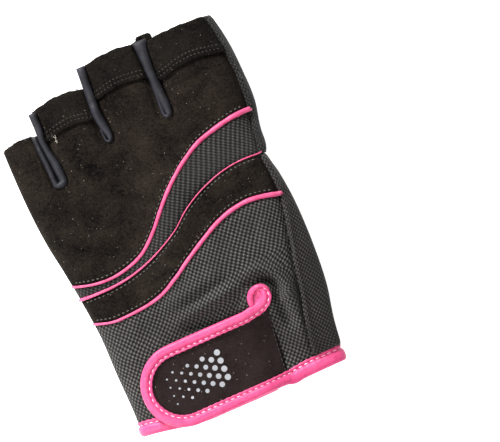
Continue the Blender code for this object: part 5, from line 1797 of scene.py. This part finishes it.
def film_dots():
    plan, faces = [], []
    for column in range(DOT_COLUMNS):
        for row in range(DOT_ROWS):
            radius = FIRST_DOT["radius"] + DOT_GROWTH * column
            x0 = FIRST_DOT["x"] + column * DOT_STEP
            y0 = STRAP_MIDDLE + (row - (DOT_ROWS - 1) / 2 + 0.5 * (column % 2) - 0.25) * DOT_STEP * 1.1
            faces.append(list(range(len(plan), len(plan) + DOT_SIDES)))
            for angle in 2 * math.pi * np.arange(DOT_SIDES) / DOT_SIDES:
                plan.append([x0 + radius * math.cos(angle), y0 + radius * math.sin(angle)])
    x, y = np.array(plan).T
    count = len(plan)
    top = strap_top(x, y) + FILM_PROUD
    walls = [
        [face[(k + 1) % DOT_SIDES], face[k], face[k] + count, face[(k + 1) % DOT_SIDES] + count]
        for face in faces
        for k in range(DOT_SIDES)
    ]
    under = [[v + count for v in reversed(face)] for face in faces]
    both = np.concatenate([np.stack([x, y, top], -1), np.stack([x, y, top - FILM_THICK], -1)])
    piece = make_mesh("reflective_dots", both, faces + under + walls, FILM)
    piece.data.shade_flat()
    return piece


film_dots()
print(DOT_COLUMNS * DOT_ROWS, "dots")

# %% [markdown]
# The hook tape stays the CAD's own piece, with a moulded finish: it is hidden under the strap.

# %% Hook tape
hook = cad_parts["hook_tape"]
hook.data.materials.clear()
hook.data.materials.append(HOOKS)
print("hook tape", HOOKS.name)

# %% [markdown]
# The photograph was taken from straight above in a white light tent, on a lit white table, with the
# glove turned. So the table is white and glows a little, one big lamp stands at the fingers' side, and
# weaker ones fill the rest; a long lens keeps the sides upright.

# %% Floor, lamps and camera
TURN = math.radians(24)
VIEW_WIDTH = 205 * MM
VIEW_CENTRE = np.array([28.1, -9.4]) * MM + SHIFT[:2]
CAMERA_HEIGHT, SENSOR = 2.0, 36.0
TABLE_REACH, TABLE_DROP, TABLE_GLOW = 3.0, 0.2 * MM, 0.85  # the drop keeps it clear of the palm
TENT_LIGHT = 0.29
LAMPS = table(
    "name at size watts",
    ("key_softbox", (-0.40, 1.30, 0.80), 0.36, 44),
    ("near_fill", (-0.34, -0.22, 0.40), 0.35, 2.8),
    ("top_tent", (0.0, 0.2, 1.8), 1.4, 7),
)


def floor():
    mesh = bpy.data.meshes.new("table")
    corners = [(x * TABLE_REACH, y * TABLE_REACH, 0) for x, y in ((-1, -1), (1, -1), (1, 1), (-1, 1))]
    mesh.from_pydata(corners, [], [[0, 1, 2, 3]])
    material, _, shader = new_material("lit_white_table", Roughness=0.7, Emission_Strength=TABLE_GLOW)
    shader.inputs["Base Color"].default_value = linear("#F4F4F4")
    shader.inputs["Emission Color"].default_value = linear("#FFFFFF")
    mesh.materials.append(material)
    ground = bpy.data.objects.new("table", mesh)
    ground.location.z = -TABLE_DROP
    bpy.context.scene.collection.objects.link(ground)
    ground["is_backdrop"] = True


def lamp(name, at, size, watts):
    light = bpy.data.lights.new(name, "AREA")
    light.energy, light.size = watts, size
    item = bpy.data.objects.new(name, light)
    item.location = at
    item.rotation_euler = (-Vector(at)).to_track_quat("-Z", "Y").to_euler()
    bpy.context.scene.collection.objects.link(item)


floor()
for row in LAMPS:
    lamp(**row)
world = bpy.data.worlds.new("light_tent")
bpy.context.scene.world = world
world.use_nodes = True
tent = world.node_tree.nodes["Background"]
tent.inputs["Color"].default_value = (1, 1, 1, 1)
tent.inputs["Strength"].default_value = TENT_LIGHT
bpy.context.scene.view_settings.view_transform = "Standard"

camera = bpy.data.cameras.new("camera")
camera.sensor_width = SENSOR
camera.lens = SENSOR * CAMERA_HEIGHT / VIEW_WIDTH
camera.clip_end = 10
viewer = bpy.data.objects.new("camera", camera)
viewer.location = (VIEW_CENTRE[0], VIEW_CENTRE[1], CAMERA_HEIGHT)
viewer.rotation_euler = (0, 0, -TURN)
bpy.context.scene.collection.objects.link(viewer)
bpy.context.scene.camera = viewer
print("lens", round(camera.lens), "mm")

# %% Sizes and finish
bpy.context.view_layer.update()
for label, (low, high) in (("CAD", CAD_BOX), ("dressed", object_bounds())):
    print(label, [round(v / MM, 1) for v in high - low], "mm")
